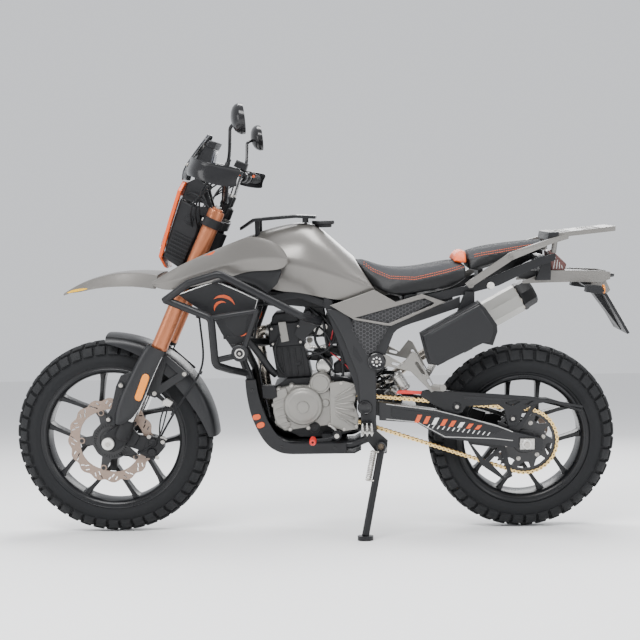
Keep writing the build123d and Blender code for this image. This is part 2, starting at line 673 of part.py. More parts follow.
def side_panels():
    """Gray panels below the seat with the mesh vent behind the spar."""
    panel = [(86, 818), (150, 846), (201, 856), (265, 824), (359, 842), (436, 818), (398, 794), (250, 742), (131, 760)]
    vent = [(131, 760), (250, 742), (262, 736), (186, 668), (150, 672)]
    whole = []
    for side in SIDES:
        body = prism(panel, side * 150, side * 156) + prism(vent, side * 146, side * 152)
        for x, z in ((300, 806), (180, 800)):
            body += cross_rod(x, z, side * (RAIL_Y1 + 0.3), side * 152, 8)
        whole.append(body)
    return whole


def seat_section(x, top_z, top_w, mid_z, mid_w, low_z, low_w, slope=0.0):
    def point(y, z):
        return (x + slope * (top_z - z), y, z)

    half = [(top_w, top_z - 3), (mid_w, mid_z), (low_w, low_z)]
    return ([point(0, top_z)] + [point(y, z) for y, z in half]
            + [point(0, low_z)] + [point(-y, z) for y, z in reversed(half)])


def rider_seat():
    # columns: x, top z, half width, side z, half width, lower z, half width
    return skin([seat_section(*row) for row in (
        (TANK_REAR_X + 0.4, 958, 44, 934, 60, 856, 100, TANK_REAR_SLOPE),
        (206, 928, 58, 896, 96, 846, 128, 0.35),
        (297, 911, 84, 890, 128, 832, 134),
        (380, 922, 100, 902, 146, 846, 144),
        (459, 940, 104, 914, 148, 860, 142),
        (512, 934, 96, 916, 132, 890, 136),
    )])


def pillion_seat():
    return skin([seat_section(*row) for row in (
        (512.3, 972, 70, 950, 96, 906, 122),
        (560, 984, 88, 962, 112, 918, 120),
        (683, 1000, 86, 980, 108, 958, 112),
        (782, 1010, 60, 996, 76, 976, 84),
    )])


def seat_step():
    """Coloured bolster between the two seats."""
    return skin([seat_section(*row) for row in (
        (463, 944.5, 84, 942.5, 92, 941, 96),
        (484, 978, 70, 962, 94, 938.5, 104),
        (512, 976, 74, 955, 100, 935, 108),
    )])


def rear_rack():
    """Cast rack plate with its two grab rails running down beside the seat."""
    plate = skin([[(x, s * w, z + t) for s, t in ((-1, -16), (1, -16), (1, 0), (-1, 0))]
                  for x, z, w in ((784, 1030, 96), (1007, 1052, 84))])
    for x0, x1 in ((806, 862), (902, 962)):
        for side in SIDES:
            z = rack_top(x0)
            plate -= prism([(x0, 980), (x1, 980), (x1, 1080), (x0, 1080)], side * 20, side * 66)
    for side in SIDES:
        grab = skin([
            [(x, side * y0, z0), (x, side * (y0 + 12), z0), (x + dx, side * (y0 + 12), z1), (x + dx, side * y0, z1)]
            for x, dx, z0, z1, y0 in ((500, 14, 872, 856, 136), (646, 10, 972, 948, 140),
                                      (784, 3, 1014, 996, 100), (850, 0, 1030, 1012, 78))])
        plate += grab
        foot = cross_rod(520, 866, side * (RAIL_Y1 + 0.3), side * 148, 9)
        post = rod((800, side * 90, 966.3), (806, side * 90, 1016), 9)
        plate += foot
        plate += post
    for k in range(4):
        a = math.radians(90 * k)
        spot = Vector(RACK_BOLTS[0] + RACK_PCD / 2 * math.cos(a), RACK_PCD / 2 * math.sin(a), 0)
        z = rack_top(spot.X)
        lean = math.atan2(22, 223)
        hole = Plane(origin=(spot.X, spot.Y, z), x_dir=(math.cos(lean), 0, math.sin(lean)),
                     z_dir=(-math.sin(lean), 0, math.cos(lean))) * Cylinder(3.5, 60)
        plate -= hole
    return plate


def rack_top(x):
    return 1030 + (x - 784) * 22 / 223


def tail_unit():
    """Tail fairing under the rack, rear mudguard and the blank number plate."""
    body = skin([[(x, s * w, z) for s, w, z in ((-1, w, top), (1, w, top), (1, w - 8, low), (-1, w - 8, low))]
                 for x, top, low, w in ((690, 908, 880, 70), (770, 905, 872, 70), (883, 902, 868, 58),
                                        (971, 896, 872, 44), (1022, 888, 878, 24))])
    flap = prism([(905, 874), (950, 872), (1052, 700), (1046, 696), (940, 836), (905, 860)], -30, 30)
    plate = skin([[(x, s * 100, z) for s, x, z in ((-1, x0 - 8, z0 - 4), (1, x0 - 8, z0 - 4), (1, x0, z0), (-1, x0, z0))]
                  for x0, z0 in ((980, 828), (1060, 694))])
    stay = prism([(740, 876), (790, 876), (790, 938), (760, 938)], -RAIL_Y0 + 14, RAIL_Y0 - 14)
    return fuse(body, flap, plate, stay)


def tail_light():
    return prism([(792, 968), (800, 975), (852, 925), (845, 903.4), (800, 904.6)], -55, 55)


def indicators():
    """Rear turn lamps on stalks."""
    lamps = []
    for side in SIDES:
        stalk = cross_rod(930, 850, side * 30.3, side * 110, 6)
        head = prism([(900, 838), (905, 862), (950, 858), (962, 842), (950, 830)], side * 108, side * 142)
        lamps.append(fuse(stalk, head))
    return lamps


def tool_box():
    """Lockable box on the left below the seat."""
    outline = [(346, 713), (540, 818), (593, 747), (595, 724), (579, 679), (551, 684), (404, 613), (371, 617)]
    box = prism(outline, -156, -250)
    bracket = prism([(470, 770), (530, 806), (530, 850), (500, 850)], -RAIL_Y1 - 0.3, -158)
    return fuse(box, bracket)


def pillion_pegs():
    """Cast peg hangers with their pegs."""
    whole = []
    for side in SIDES:
        hanger = prism([(240, 634), (292, 606), (325, 648), (340, 640), (404, 516), (388, 508), (318, 580), (244, 600)],
                       side * 137, side * 147)
        hanger += cross_rod(205, 615, side * (SPAR_Y1 + 0.3), side * 147, 30)
        hanger += prism([(200, 640), (250, 634), (250, 598), (200, 592)], side * 137, side * 147)
        peg = rod((394, side * 140, 524), (420, side * 240, 540), 11)
        whole.append(fuse(hanger, peg))
    return whole


def rider_pegs():
    """Rider's footpegs on their brackets."""
    whole = []
    for side in SIDES:
        arm = prism([(150, 410), (186, 410), (190, 384), (150, 384)], side * (SPAR_Y1 + 0.3), side * 156)
        peg = skin([[(x, y, z) for x, z in ((150, 392), (190, 392), (190, 408), (150, 408))]
                    for y in (side * 154, side * 245)])
        whole.append(fuse(arm, peg))
    return whole


def foot_controls():
    """Gear lever on the left and brake pedal on the right."""
    lever = fuse(cross_rod(68, 364, -CASE_Y - 38, -150, 8), rod((68, -146, 364), (-12, -152, 352), 6),
                 cross_rod(-12, 352, -146, -190, 9))
    lever += cross_rod(68, 364, -CASE_Y - 0.3, -120, 6)
    pedal = fuse(cross_rod(176, 364, SPAR_Y1 + 0.3, 156, 10), rod((176, 150, 364), (6, 156, 350), 6),
                 cross_rod(6, 350, 150, 196, 9))
    return [lever, pedal]


def chain_guard():
    """Guard over the upper chain run and the open fin below the lower one."""
    ax, az = REAR_AXLE
    edge_in, edge_out = CHAIN_Y - 13, CHAIN_Y - 21
    guard = prism([(419, 492), (440, 503), (575, 486), (ax + 4, az + 149), (ax + 75, az + 147),
                   (ax + 198, az + 107), (ax + 190, az + 101), (ax + 70, az + 137), (ax + 4, az + 139),
                   (575, 474), (440, 488)], CHAIN_Y - 14, CHAIN_Y + 20)
    for tab in ([(440, 500), (470, 499), (470, 426.6), (440, 435.9)],
                [(ax - 62, az + 151), (ax + 50, az + 147), (ax - 22, az + 36), (ax - 56, az + 45.3)]):
        guard += prism(tab, edge_in, edge_out)
    guard -= prism([(ax - 46, az + 132), (ax + 22, az + 130), (ax - 16, az + 70), (ax - 40, az + 76)],
                   edge_in + 1, edge_out - 1)
    fin = prism([(510, 335.5), (ax - 70, az - 8.9), (ax - 42, az - 121), (ax - 70, az - 135), (560, 246)],
                CHAIN_Y - 14, CHAIN_Y - 20)
    for window in ([(528, 318), (ax - 92, az - 20), (572, 262)],
                   [(ax - 84, az - 30), (ax - 56, az - 116), (ax - 70, az - 124), (588, 256)]):
        fin -= prism(window, CHAIN_Y - 10, CHAIN_Y - 24)
    return [guard, fin]


def rear_caliper():
    """Rear brake caliper on its carrier plate."""
    x, z = polar(REAR_AXLE, 98, 162)
    body = prism([(x - 34, z - 8), (x - 20, z + 30), (x + 34, z + 34), (x + 40, z + 2), (x + 10, z - 26)], 72, 102)
    body -= cross_rod(*REAR_AXLE, REAR_DISC_Y - 5, REAR_DISC_Y + 5, REAR_DISC_R + 4)
    return body


# ---------------------------------------------------------------- steering
def triple_clamps():
    """Upper and lower fork clamps on the steering stem."""
    stem = FORK * Pos(0, 0, 722) * Cylinder(STEM_R, 230)
    whole = stem
    for z, thick in ((616, 34), (829, 30)):
        web = Polyline((-52, -118, 0), (-52, 118, 0), (-10, 136, 0), (24, 26, 0), (24, -26, 0), (-10, -136, 0), close=True)
        whole += FORK * Pos(0, 0, z - thick / 2) * extrude(make_face(web), thick)
        for side in SIDES:
            whole += FORK * Pos(-TUBE_OFFSET, side * FORK_SPREAD, z) * Cylinder(UPPER_TUBE_R + 9, thick)
    for side in SIDES:
        whole -= FORK * Pos(-TUBE_OFFSET, side * FORK_SPREAD, 720) * Cylinder(UPPER_TUBE_R + 0.1, 400)
    return whole


def fork_tubes():
    """Outer tubes of the upside-down fork with their caps and lower collars."""
    tubes = []
    for side in SIDES:
        at = FORK * Pos(-TUBE_OFFSET, side * FORK_SPREAD, 0)
        outer = at * Pos(0, 0, 366) * Cylinder(UPPER_TUBE_R, 500, align=(Align.CENTER, Align.CENTER, Align.MIN))
        cap = at * Pos(0, 0, 866) * Cylinder(17, 10, align=(Align.CENTER, Align.CENTER, Align.MIN))
        tubes.append(fuse(outer, cap))
    return tubes


def fork_legs():
    """Stanchions and the cast feet that hold the axle."""
    legs = []
    for side in SIDES:
        at = FORK * Pos(-TUBE_OFFSET, side * FORK_SPREAD, 0)
        stanchion = at * Pos(0, 0, 90) * Cylinder(STANCHION_R, 275.7, align=(Align.CENTER, Align.CENTER, Align.MIN))
        clamp = at * Pos(0, side * 5, 66) * Cylinder(27, 72)
        outline = [(-76, -24), (-28, -24), (2, 10), (4, 72), (-46, 72), (-78, 20)]
        foot = FORK * extrude(make_face(Polyline(*[(x, side * 84, z) for x, z in outline], close=True)),
                              36, dir=(0, side, 0))
        leg = fuse(stanchion, clamp, foot)
        leg -= cross_rod(*FRONT_AXLE, -200, 200, AXLE_R + 0.3)
        legs.append(leg)
    return legs


def fork_guards():
    """Guards outside the stanchions."""
    inner = FORK_SPREAD + 32.3
    guards = []
    for side in SIDES:
        outline = [(-66, 351), (-14, 362), (-8, 240), (-12, 125), (-30, 72), (-67, 72)]
        plate = FORK * extrude(make_face(Polyline(*[(x, side * inner, z) for x, z in outline], close=True)),
                               5, dir=(0, side, 0))
        lip = FORK * Pos(-63, side * (inner - 12), 212) * Box(5, 34, 276)
        guards.append(fuse(plate, lip))
    return guards


def front_axle():
    left, right = -HUB_LEFT - 0.3, HUB_RIGHT + 0.3
    return fuse(cross_rod(*FRONT_AXLE, -136, 136, AXLE_R),
                cross_rod(*FRONT_AXLE, -83.7, left, 16), cross_rod(*FRONT_AXLE, right, 83.7, 16))


def front_fender():
    """Close fender over the back of the front wheel, with turned-down sides."""
    rin, rout = FRONT_R + 17, FRONT_R + 23
    x, z = polar(FRONT_AXLE, rout - 32, 42)
    bosses = [cross_rod(x, z, side * 67, side * (STAY_Y - 0.3), 6) for side in SIDES]
    return fuse(*bosses, ring(FRONT_AXLE, [(rout, -34), (rout - 8, -62), (rout - 46, -70), (rout - 46, -66), (rin - 6, -58),
                             (rin, -32), (rin, 32), (rin - 6, 58), (rout - 46, 66), (rout - 46, 70),
                             (rout - 8, 62), (rout, 34)], 12, start=0, turn=94))


def fender_brackets():
    """Triangular stays between the stanchions and the fender."""
    stays = []
    for side in SIDES:
        def local(points):
            return FORK * extrude(make_face(Polyline(*[(x, side * STAY_Y, z) for x, z in points], close=True)),
                                  FORK_SPREAD - STANCHION_R - 0.3 - STAY_Y, dir=(0, side, 0))
        stay = local([(-30, 350), (10, 352), (104, 322), (28, 200), (-30, 196)])
        stay -= local([(16, 328), (66, 310), (28, 256)])
        stays.append(stay)
    return stays


def front_caliper():
    """Front brake caliper on the left leg."""
    outline = [(44, 2), (60, 74), (112, 82), (124, 50), (108, 0)]
    body = FORK * extrude(make_face(Polyline(*[(x, -95, z) for x, z in outline], close=True)), 41, dir=(0, 1, 0))
    body -= cross_rod(*FRONT_AXLE, FRONT_DISC_Y - 5.5, FRONT_DISC_Y + 5.5, FRONT_DISC_R + 5)
    arm = [(4.6, 12), (4.6, 60), (60, 66), (60, 14)]
    body += FORK * extrude(make_face(Polyline(*[(x, -96, z) for x, z in arm], close=True)), 12, dir=(0, 1, 0))
    return body


def front_brake_hose():
    """Hose from the caliper up the back of the left leg to the lower clamp."""
    route = [(98, -88, 81), (106, -104, 181), (126, -112, 271), (140, -112, 352), (126, -110, 421),
             (62, -106, 526), (40, -104, 598)]
    points = [FORK.from_local_coords(Vector(*p)) for p in route]
    return tube(points, 3.5, 24)


def handlebar():
    """Risers, swept bar and grips."""
    clamp = (-12, 95, 910)
    left = [(x, -y, z) for x, y, z in (BAR_END, BAR_KNEE, clamp)]
    whole = tube([in_fork(*p) for p in left + [clamp, BAR_KNEE, BAR_END]], BAR_R, 40)
    for side in SIDES:
        whole += FORK * Pos(clamp[0], side * 45, 880.2) * Box(30, 26, 72)
        whole += rod(in_fork(*on_bar(side, 300)), in_fork(*on_bar(side, BAR_END[1])), 17)
    return whole


def on_bar(side, y):
    """A point on the straight outer run of the handlebar, in the fork frame."""
    share = (y - BAR_KNEE[1]) / (BAR_END[1] - BAR_KNEE[1])
    x, _, z = (a + share * (b - a) for a, b in zip(BAR_KNEE, BAR_END))
    return (x, side * y, z)


def hand_controls():
    """Lever perches, switch blocks and levers."""
    sets = []
    for side in SIDES:
        perch = FORK * Pos(PERCH_X, side * 268, PERCH_TOP - 20) * Box(62, 34, 40)
        perch -= rod(in_fork(*on_bar(side, 190)), in_fork(*on_bar(side, 420)), BAR_R + 0.2)
        lever = rod(in_fork(PERCH_X - 26, side * 272, 996), in_fork(PERCH_X - 22, side * 403, 1000), 6)
        sets.append(fuse(perch, lever))
    return sets


def hand_guards():
    """Hand guards that wrap round from the front of the perch to the bar end."""
    guards = []
    front = PERCH_X - 31        # front face of the perch
    for side in SIDES:
        sections = [[(x, side * y, z0), (x - 5, side * (y + 3), z0), (x - 5, side * (y + 3), z1), (x, side * y, z1)]
                    for x, y, z0, z1 in ((-138, 205, 950, 984), (-130, 300, 950, 1004), (-100, 395, 956, 1008),
                                         (-26, 438, 962, 1020), (40, 440, 984, 1036))]
        shell = FORK * skin(sections)
        stay = rod(in_fork(front - 0.3, side * 256, 985), in_fork(-135, side * 256, 985), 6)
        guards.append(fuse(shell, stay))
    return guards


def mirrors():
    """Mirrors on long stems; each head is set to its own height."""
    sets = []
    # columns: side, bend of the stem and middle of the glass in the fork frame
    for side, bend, centre in ((-1, (-64, 300, 1140), (-36, 340, 1172)),
                               (1, (-64, 300, 1118), (-32, 340, 1148))):
        base, foot, knee, glass = (in_fork(x, side * y, z) for x, y, z in (
            (PERCH_X, 268, PERCH_TOP + 0.3), (PERCH_X, 268, PERCH_TOP + 22), bend, centre))
        stem = fuse(rod(base, foot, 7), rod(foot, knee, 6), rod(knee, glass, 6))
        # columns: place ahead of the glass, size of the outline there
        head = skin([[tuple(Vector(*glass) + Vector(dx - 0.1 * dz * size, side * dy * size, dz * size))
                      for dy, dz in ((-60, -22), (-40, -48), (56, -36), (66, 20), (40, 46), (-44, 40))]
                     for dx, size in ((4, 0.94), (-6, 1.0), (-22, 0.78), (-31, 0.42))])
        sets.append(fuse(stem, head))
    return sets


def headlight():
    """Lamp housing between the fork tubes, with cooling fins and the lens."""
    outline = [(-133.4, 651), (-60, 640), (-56, 770), (-70, 850), (-155.2, 858), (-147.6, 770)]
    box = FORK * extrude(make_face(Polyline(*[(x, -72, z) for x, z in outline], close=True)), 144, dir=(0, 1, 0))
    for k in range(4):
        box += FORK * Pos(-98, 0, 690 + 24 * k) * Box(60, 156, 8)
    lens = FORK * Pos(-148, 0, 765) * Box(24, 108, 190)
    arm = FORK * Pos(-63.3, 0, 829) * Box(22, 60, 18)
    return fuse(box, lens, arm)


def headlight_mask():
    """Coloured frame round the headlight."""
    rows = ((-118, 622, 50), (-146, 650, 74), (-160, 770, 82), (-170, 880, 84), (-168, 914, 70))
    outer = skin([[(x, -w, z), (x, w, z), (x + 12, w + 3, z), (x + 12, -w - 3, z)] for x, z, w in rows])
    opening = Pos(-150, 0, 765) * Box(80, 116, 200)
    return FORK * (outer - opening)


def flyscreen():
    """Small smoked screen above the lamp with the instrument behind it."""
    screen = skin([[(x, -w, z), (x - 8, 0, z), (x, w, z), (x + 4, w, z), (x - 4, 0, z), (x + 4, -w, z)]
                   for x, z, w in ((-170, 915, 84), (-180, 951, 92), (-152, 1088, 64))])
    # instrument on two stays behind the screen
    instrument = fork_prism([(-150, 940), (-160, 985), (-141, 1070), (-120, 1074), (-108, 1000), (-104, 940)],
                            -62, 62)
    stays = [rod(in_fork(-178, side * 40, 965), in_fork(-130, side * 40, 965), 5) for side in SIDES]
    return fuse(FORK * screen, instrument, *stays)


# ---------------------------------------------------------------- stand
def on_stand_axis(reach):
    """A point on the stand's hinge line, outwards from the middle of its eye."""
    return tuple(Vector(*STAND_PIVOT) + Vector(*STAND_AXIS).normalized() * reach)


def stand_leg():
    """Side stand: pivot eye and leg; place() adds the foot, which lies on the ground."""
    half = STAND_EYE_T / 2
    whole = fuse(rod(on_stand_axis(-half), on_stand_axis(half), 17),
                 rod(STAND_PIVOT, STAND_HEEL, STAND_LEG_R))
    return whole - rod(on_stand_axis(-40), on_stand_axis(40), STAND_PIN_R + 0.3)


def stand_bracket():
    """Bracket on the left spar with the inclined boss and pin of the stand's hinge."""
    plate = prism([(170, 380), (200, 380), (240, 344), (236, 300), (204, 298), (170, 345)],
                  -SPAR_Y1 - 0.3, -SPAR_Y1 - 10)
    inner = -STAND_EYE_T / 2 - 0.3
    boss = rod(on_stand_axis(inner), on_stand_axis(inner - 12), 14)
    pin = rod(on_stand_axis(inner - 8), on_stand_axis(STAND_EYE_T / 2 + 4), STAND_PIN_R)
    return fuse(plate, boss, pin)


# ---------------------------------------------------------------- assembly
FRONT_TYRE = tyre(FRONT_AXLE, FRONT_R, FRONT_TYRE_W, FRONT_BEAD_R, FRONT_RIM_W, 27)
REAR_TYRE = tyre(REAR_AXLE, REAR_R, REAR_TYRE_W, REAR_BEAD_R, REAR_RIM_W, 26)

NODES = {
    "main_frame": main_frame(),
    "subframe": subframe(),
    "swingarm": swingarm(),
    "pivot_bolt": pivot_bolt(),
    "rear_axle": rear_axle(),
    "rear_shock": rear_shock(),
    "crankcase": crankcase(),
    "left_engine_cover": left_engine_cover(),
    "right_engine_cover": right_engine_cover(),
    "cylinder_head": cylinder_head(),
    "air_box": air_box(),
    "exhaust": exhaust(),
    "skid_plate": skid_plate(),
    "radiators": radiators(),
    "radiator_covers": radiator_covers(),
    "crash_bars": crash_bars(),
    "fuel_tank": fuel_tank(),
    "tank_rack": tank_rack(),
    "front_shrouds": front_shrouds(),
    "beak": beak(),
    "side_panels": side_panels(),
    "rider_seat": rider_seat(),
    "pillion_seat": pillion_seat(),
    "seat_step": seat_step(),
    "rear_rack": rear_rack(),
    "tail_unit": tail_unit(),
    "tail_light": tail_light(),
    "indicators": indicators(),
    "tool_box": tool_box(),
    "pillion_pegs": pillion_pegs(),
    "rider_pegs": rider_pegs(),
    "foot_controls": foot_controls(),
    "chain": chain(),
    "chain_guard": chain_guard(),
    "rear_caliper": rear_caliper(),
    "stand_bracket": stand_bracket(),
    "triple_clamps": triple_clamps(),
    "fork_tubes": fork_tubes(),
    "fork_legs": fork_legs(),
    "fork_guards": fork_guards(),
    "front_axle": front_axle(),
    "front_fender": front_fender(),
    "fender_brackets": fender_brackets(),
    "front_caliper": front_caliper(),
    "front_brake_hose": front_brake_hose(),
    "handlebar": handlebar(),
    "hand_controls": hand_controls(),
    "hand_guards": hand_guards(),
    "mirrors": mirrors(),
    "headlight": headlight(),
    "headlight_mask": headlight_mask(),
    "flyscreen": flyscreen(),
    "front_tyre": FRONT_TYRE,
    "front_rim": rim(FRONT_AXLE, FRONT_BEAD_R, FRONT_RIM_W, 22.5, 48, 36, 38, (HUB_LEFT, HUB_RIGHT),
                     AXLE_R + RUN_CLEARANCE),
    "front_disc": wave_disc(FRONT_AXLE, FRONT_DISC_Y, FRONT_DISC_R, 16, 37, 50, 5, 22),
    "rear_tyre": REAR_TYRE,
    "rear_rim": rim(REAR_AXLE, REAR_BEAD_R, REAR_RIM_W, 21.5, 268.7, 48, 60, (86.2, 87.4),
                    AXLE_R + RUN_CLEARANCE),
    "rear_disc": wave_disc(REAR_AXLE, REAR_DISC_Y, REAR_DISC_R, 12, 28, 44, 5, 30.3),
    "rear_sprocket": sprocket(REAR_AXLE, CHAIN_Y, REAR_TEETH, 7, 42, 30.3),
    "stand_leg": stand_leg(),
}


def place():
    """Lean every node onto the stand, set the origin at the bottom centre and write the files."""
    lean = Rot(X=LEAN)
    leaned = {}
    for name, shape in NODES.items():
        bodies = shape if isinstance(shape, list) else [shape]
        leaned[name] = [lean * solid for body in bodies for solid in body.solids()]
    ground = min(leaned[name][0].bounding_box().min.Z for name in ("front_tyre", "rear_tyre"))
    # the stand's foot is a disc that lies on the ground under the end of the leg
    heel = (lean * Pos(*STAND_HEEL)).position
    foot = Pos(heel.X, heel.Y, ground) * Cylinder(
        STAND_FOOT_R, heel.Z - ground, align=(Align.CENTER, Align.CENTER, Align.MIN))
    leaned["stand_leg"] = [fuse(leaned["stand_leg"][0], foot).solids()[0]]
    boxes = [solid.bounding_box() for solids in leaned.values() for solid in solids]
    low_x, high_x = min(b.min.X for b in boxes), max(b.max.X for b in boxes)
    low_y, high_y = min(b.min.Y for b in boxes), max(b.max.Y for b in boxes)
    shift = Pos(-(low_x + high_x) / 2, -(low_y + high_y) / 2, -ground)
    for name, solids in leaned.items():
        moved = [shift * solid for solid in solids]
        export_step(Compound(moved), f"parts/{name}.step")
    print("moved by", *shift.position)


place()
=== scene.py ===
import json
import math

import bmesh
import bpy
from mathutils import Matrix, Vector
from mathutils.bvhtree import BVHTree


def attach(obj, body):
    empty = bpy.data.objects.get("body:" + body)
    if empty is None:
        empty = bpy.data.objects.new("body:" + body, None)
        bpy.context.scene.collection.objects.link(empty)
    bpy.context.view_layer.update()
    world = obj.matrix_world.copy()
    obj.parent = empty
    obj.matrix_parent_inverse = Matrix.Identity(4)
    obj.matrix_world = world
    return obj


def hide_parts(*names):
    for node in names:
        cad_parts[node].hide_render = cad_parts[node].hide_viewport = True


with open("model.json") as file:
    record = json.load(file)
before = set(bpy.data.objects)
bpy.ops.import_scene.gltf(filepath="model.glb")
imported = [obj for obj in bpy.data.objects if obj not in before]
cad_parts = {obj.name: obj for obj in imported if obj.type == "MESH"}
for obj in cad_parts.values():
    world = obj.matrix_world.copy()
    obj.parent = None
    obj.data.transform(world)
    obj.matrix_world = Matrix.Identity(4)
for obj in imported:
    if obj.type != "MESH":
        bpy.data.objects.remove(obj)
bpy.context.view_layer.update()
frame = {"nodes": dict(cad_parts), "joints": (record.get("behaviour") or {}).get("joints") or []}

# ---- Stance ----
# The motorcycle leans on its side stand. Each piece is drawn upright in millimetres, front towards -X, left
# towards -Y and ground at zero, and PARKED then leans it onto its stand.
LEAN = math.radians(9)
WHEELBASE = 1420
FRONT_AXLE = Vector((-710, 0, 341))
REAR_AXLE = Vector((FRONT_AXLE.x + WHEELBASE, 0, 325))
pins = {joint["name"]: joint["pos_m"] for joint in frame["joints"]}
upright = Matrix.Rotation(LEAN, 4, "X") @ Matrix.Scale(0.001, 4)
PARKED = Matrix.Translation(Vector(pins["front_wheel_spin"]) - (upright @ FRONT_AXLE)) @ upright

# The steering axis rakes back by 24.8 degrees: STEERED sets a piece drawn up that axis, x to the rear.
RAKE, FORK_OFFSET = math.radians(24.8), 52.7
fork_foot = FRONT_AXLE + FORK_OFFSET * Vector((math.cos(RAKE), 0, -math.sin(RAKE)))
FORK = Matrix.Translation(fork_foot) @ Matrix.Rotation(RAKE, 4, "Y")
STEERED = {"body": "steering", "place": PARKED @ FORK}
STAND_UP = Matrix.Rotation(math.pi / 2, 4, "X")


# ---- Studio ----
# A plain pale floor under a soft sky. A broad lamp hangs over the left side and a long one above; low fills
# stand in front and behind, and one lights the far side. The camera is 3.6 m to the left, 0.6 m up.
def shown(name, data):
    """An object of the given data, linked to the scene."""
    made = bpy.data.objects.new(name, data)
    bpy.context.scene.collection.objects.link(made)
    return made


def studio():
    """Floor, sky and lamps."""
    floor_r, floor_grey = 40, 0.86
    bpy.ops.mesh.primitive_circle_add(vertices=64, radius=floor_r, fill_type="NGON")
    floor = bpy.context.object
    floor.name = "studio_floor"
    paint = bpy.data.materials.new("floor_paint")
    paint.use_nodes = True
    shader = paint.node_tree.nodes["Principled BSDF"]
    shader.inputs["Base Color"].default_value = (floor_grey, floor_grey, floor_grey, 1)
    shader.inputs["Roughness"].default_value = 0.9
    floor.data.materials.append(paint)
    world = bpy.data.worlds.new("studio_sky")
    bpy.context.scene.world = world
    world.use_nodes = True
    sky = world.node_tree.nodes["Background"]
    sky.inputs["Color"].default_value = (0.94, 0.96, 1.0, 1)
    sky.inputs["Strength"].default_value = 0.95
    # columns: place, aim, size along and across, watts
    for k, (place, aim, size, watts) in enumerate((
            ((-1.2, -3.0, 3.8), (0, 0, 0.7), (3.2, 1.4), 260),
            ((0.4, 0.6, 4.2), (0, 0, 0.6), (4.0, 1.2), 210),
            ((-3.6, -1.6, 1.2), (0, 0, 0.7), (1.4, 1.8), 35),
            ((3.2, -2.6, 1.8), (0.4, 0, 0.6), (1.6, 1.6), 45),
            ((1.0, 3.6, 2.6), (0, 0, 0.7), (3.0, 1.4), 90))):
        lamp = bpy.data.lights.new(f"softbox_{k}", "AREA")
        lamp.shape, lamp.energy = "RECTANGLE", watts
        lamp.size, lamp.size_y = size
        box = shown(f"softbox_{k}", lamp)
        box.location = place
        box.rotation_euler = (Vector(aim) - Vector(place)).to_track_quat("-Z", "Y").to_euler()


def camera():
    """The one camera, its lens shifted off the middle."""
    picture, focal_px = 640, 1067  # picture side and focal length, in pixels
    level_x, level_y = 359, 362  # pixel that the level line of sight meets
    stand_off, eye_height, along, roll = 3.612, 0.5864, 0.1415, -0.0132
    lens = bpy.data.cameras.new("camera")
    lens.sensor_width, lens.sensor_fit = 36, "HORIZONTAL"
    lens.lens = 36 * focal_px / picture
    lens.shift_x = (picture / 2 - level_x) / picture
    lens.shift_y = (level_y - picture / 2) / picture
    lens.clip_end = 200
    eye = shown("camera", lens)
    aim = STAND_UP @ Matrix.Rotation(roll, 4, "Z")
    eye.matrix_world = Matrix.Translation((along, -stand_off, eye_height)) @ aim
    bpy.context.scene.camera = eye


studio()
camera()


# ---- Tyres ----
# Tubeless block-tread tyres of black rubber. The carcass is built up and cured in a mould, which also
# presses the staggered centre blocks, the shoulder blocks and the thin ribs of the sidewall.
def add(tree, kind, inputs=(), **settings):
    """A node with its settings; each input is a value or the socket that feeds it."""
    made = tree.nodes.new(kind)
    for key, value in settings.items():
        setattr(made, key, value)
    for key, value in dict(inputs).items():
        if isinstance(value, bpy.types.NodeSocket):
            tree.links.new(value, made.inputs[key])
        else:
            made.inputs[key].default_value = value
    return made


def finish(name, colour, rough, metal=0.0, mottle=(0.08, 60), grain=(0, 0.8), polish=0.06, **shader_values):
    """A surface of one colour with uneven polish, and mottling and grain given as (strength, size in mm)."""
    surface = bpy.data.materials.new(name)
    surface.use_nodes = True
    tree = surface.node_tree
    shader = tree.nodes["Principled BSDF"]
    shader.inputs["Metallic"].default_value = metal
    for socket, value in shader_values.items():
        shader.inputs[socket.replace("_", " ")].default_value = value
    where = add(tree, "ShaderNodeTexCoord").outputs["Object"]
    cloud = add(tree, "ShaderNodeTexNoise", {"Vector": where, "Scale": 1000 / mottle[1],
        "Detail": 5}).outputs["Fac"]
    dark, light = ((*(min(1, c * (1 + sign * mottle[0])) for c in colour), 1) for sign in (-1, 1))
    blend = add(tree, "ShaderNodeMix", {"A": dark, "B": light, "Factor": cloud}, data_type="RGBA")
    tree.links.new(blend.outputs["Result"], shader.inputs["Base Color"])
    span = add(tree, "ShaderNodeMapRange", {"Value": cloud, "From Min": 0.3, "From Max": 0.7,
        "To Min": max(0.02, rough - polish), "To Max": rough + polish})
    tree.links.new(span.outputs["Result"], shader.inputs["Roughness"])
    if grain[0]:
        speck = add(tree, "ShaderNodeTexNoise", {"Vector": where, "Scale": 1000 / grain[1], "Detail": 3})
        bump = add(tree, "ShaderNodeBump", {"Height": speck.outputs["Fac"], "Strength": grain[0],
            "Distance": grain[1] / 1000})
        tree.links.new(bump.outputs["Normal"], shader.inputs["Normal"])
    return surface


def realised(thing, surface=None):
    """The mesh of an object as its modifiers leave it, in the given finish; the object itself goes."""
    bpy.context.view_layer.update()
    mesh = bpy.data.meshes.new_from_object(thing.evaluated_get(bpy.context.evaluated_depsgraph_get()))
    bpy.data.objects.remove(thing)
    if surface:
        mesh.materials.clear()
        mesh.materials.append(surface)
    return mesh


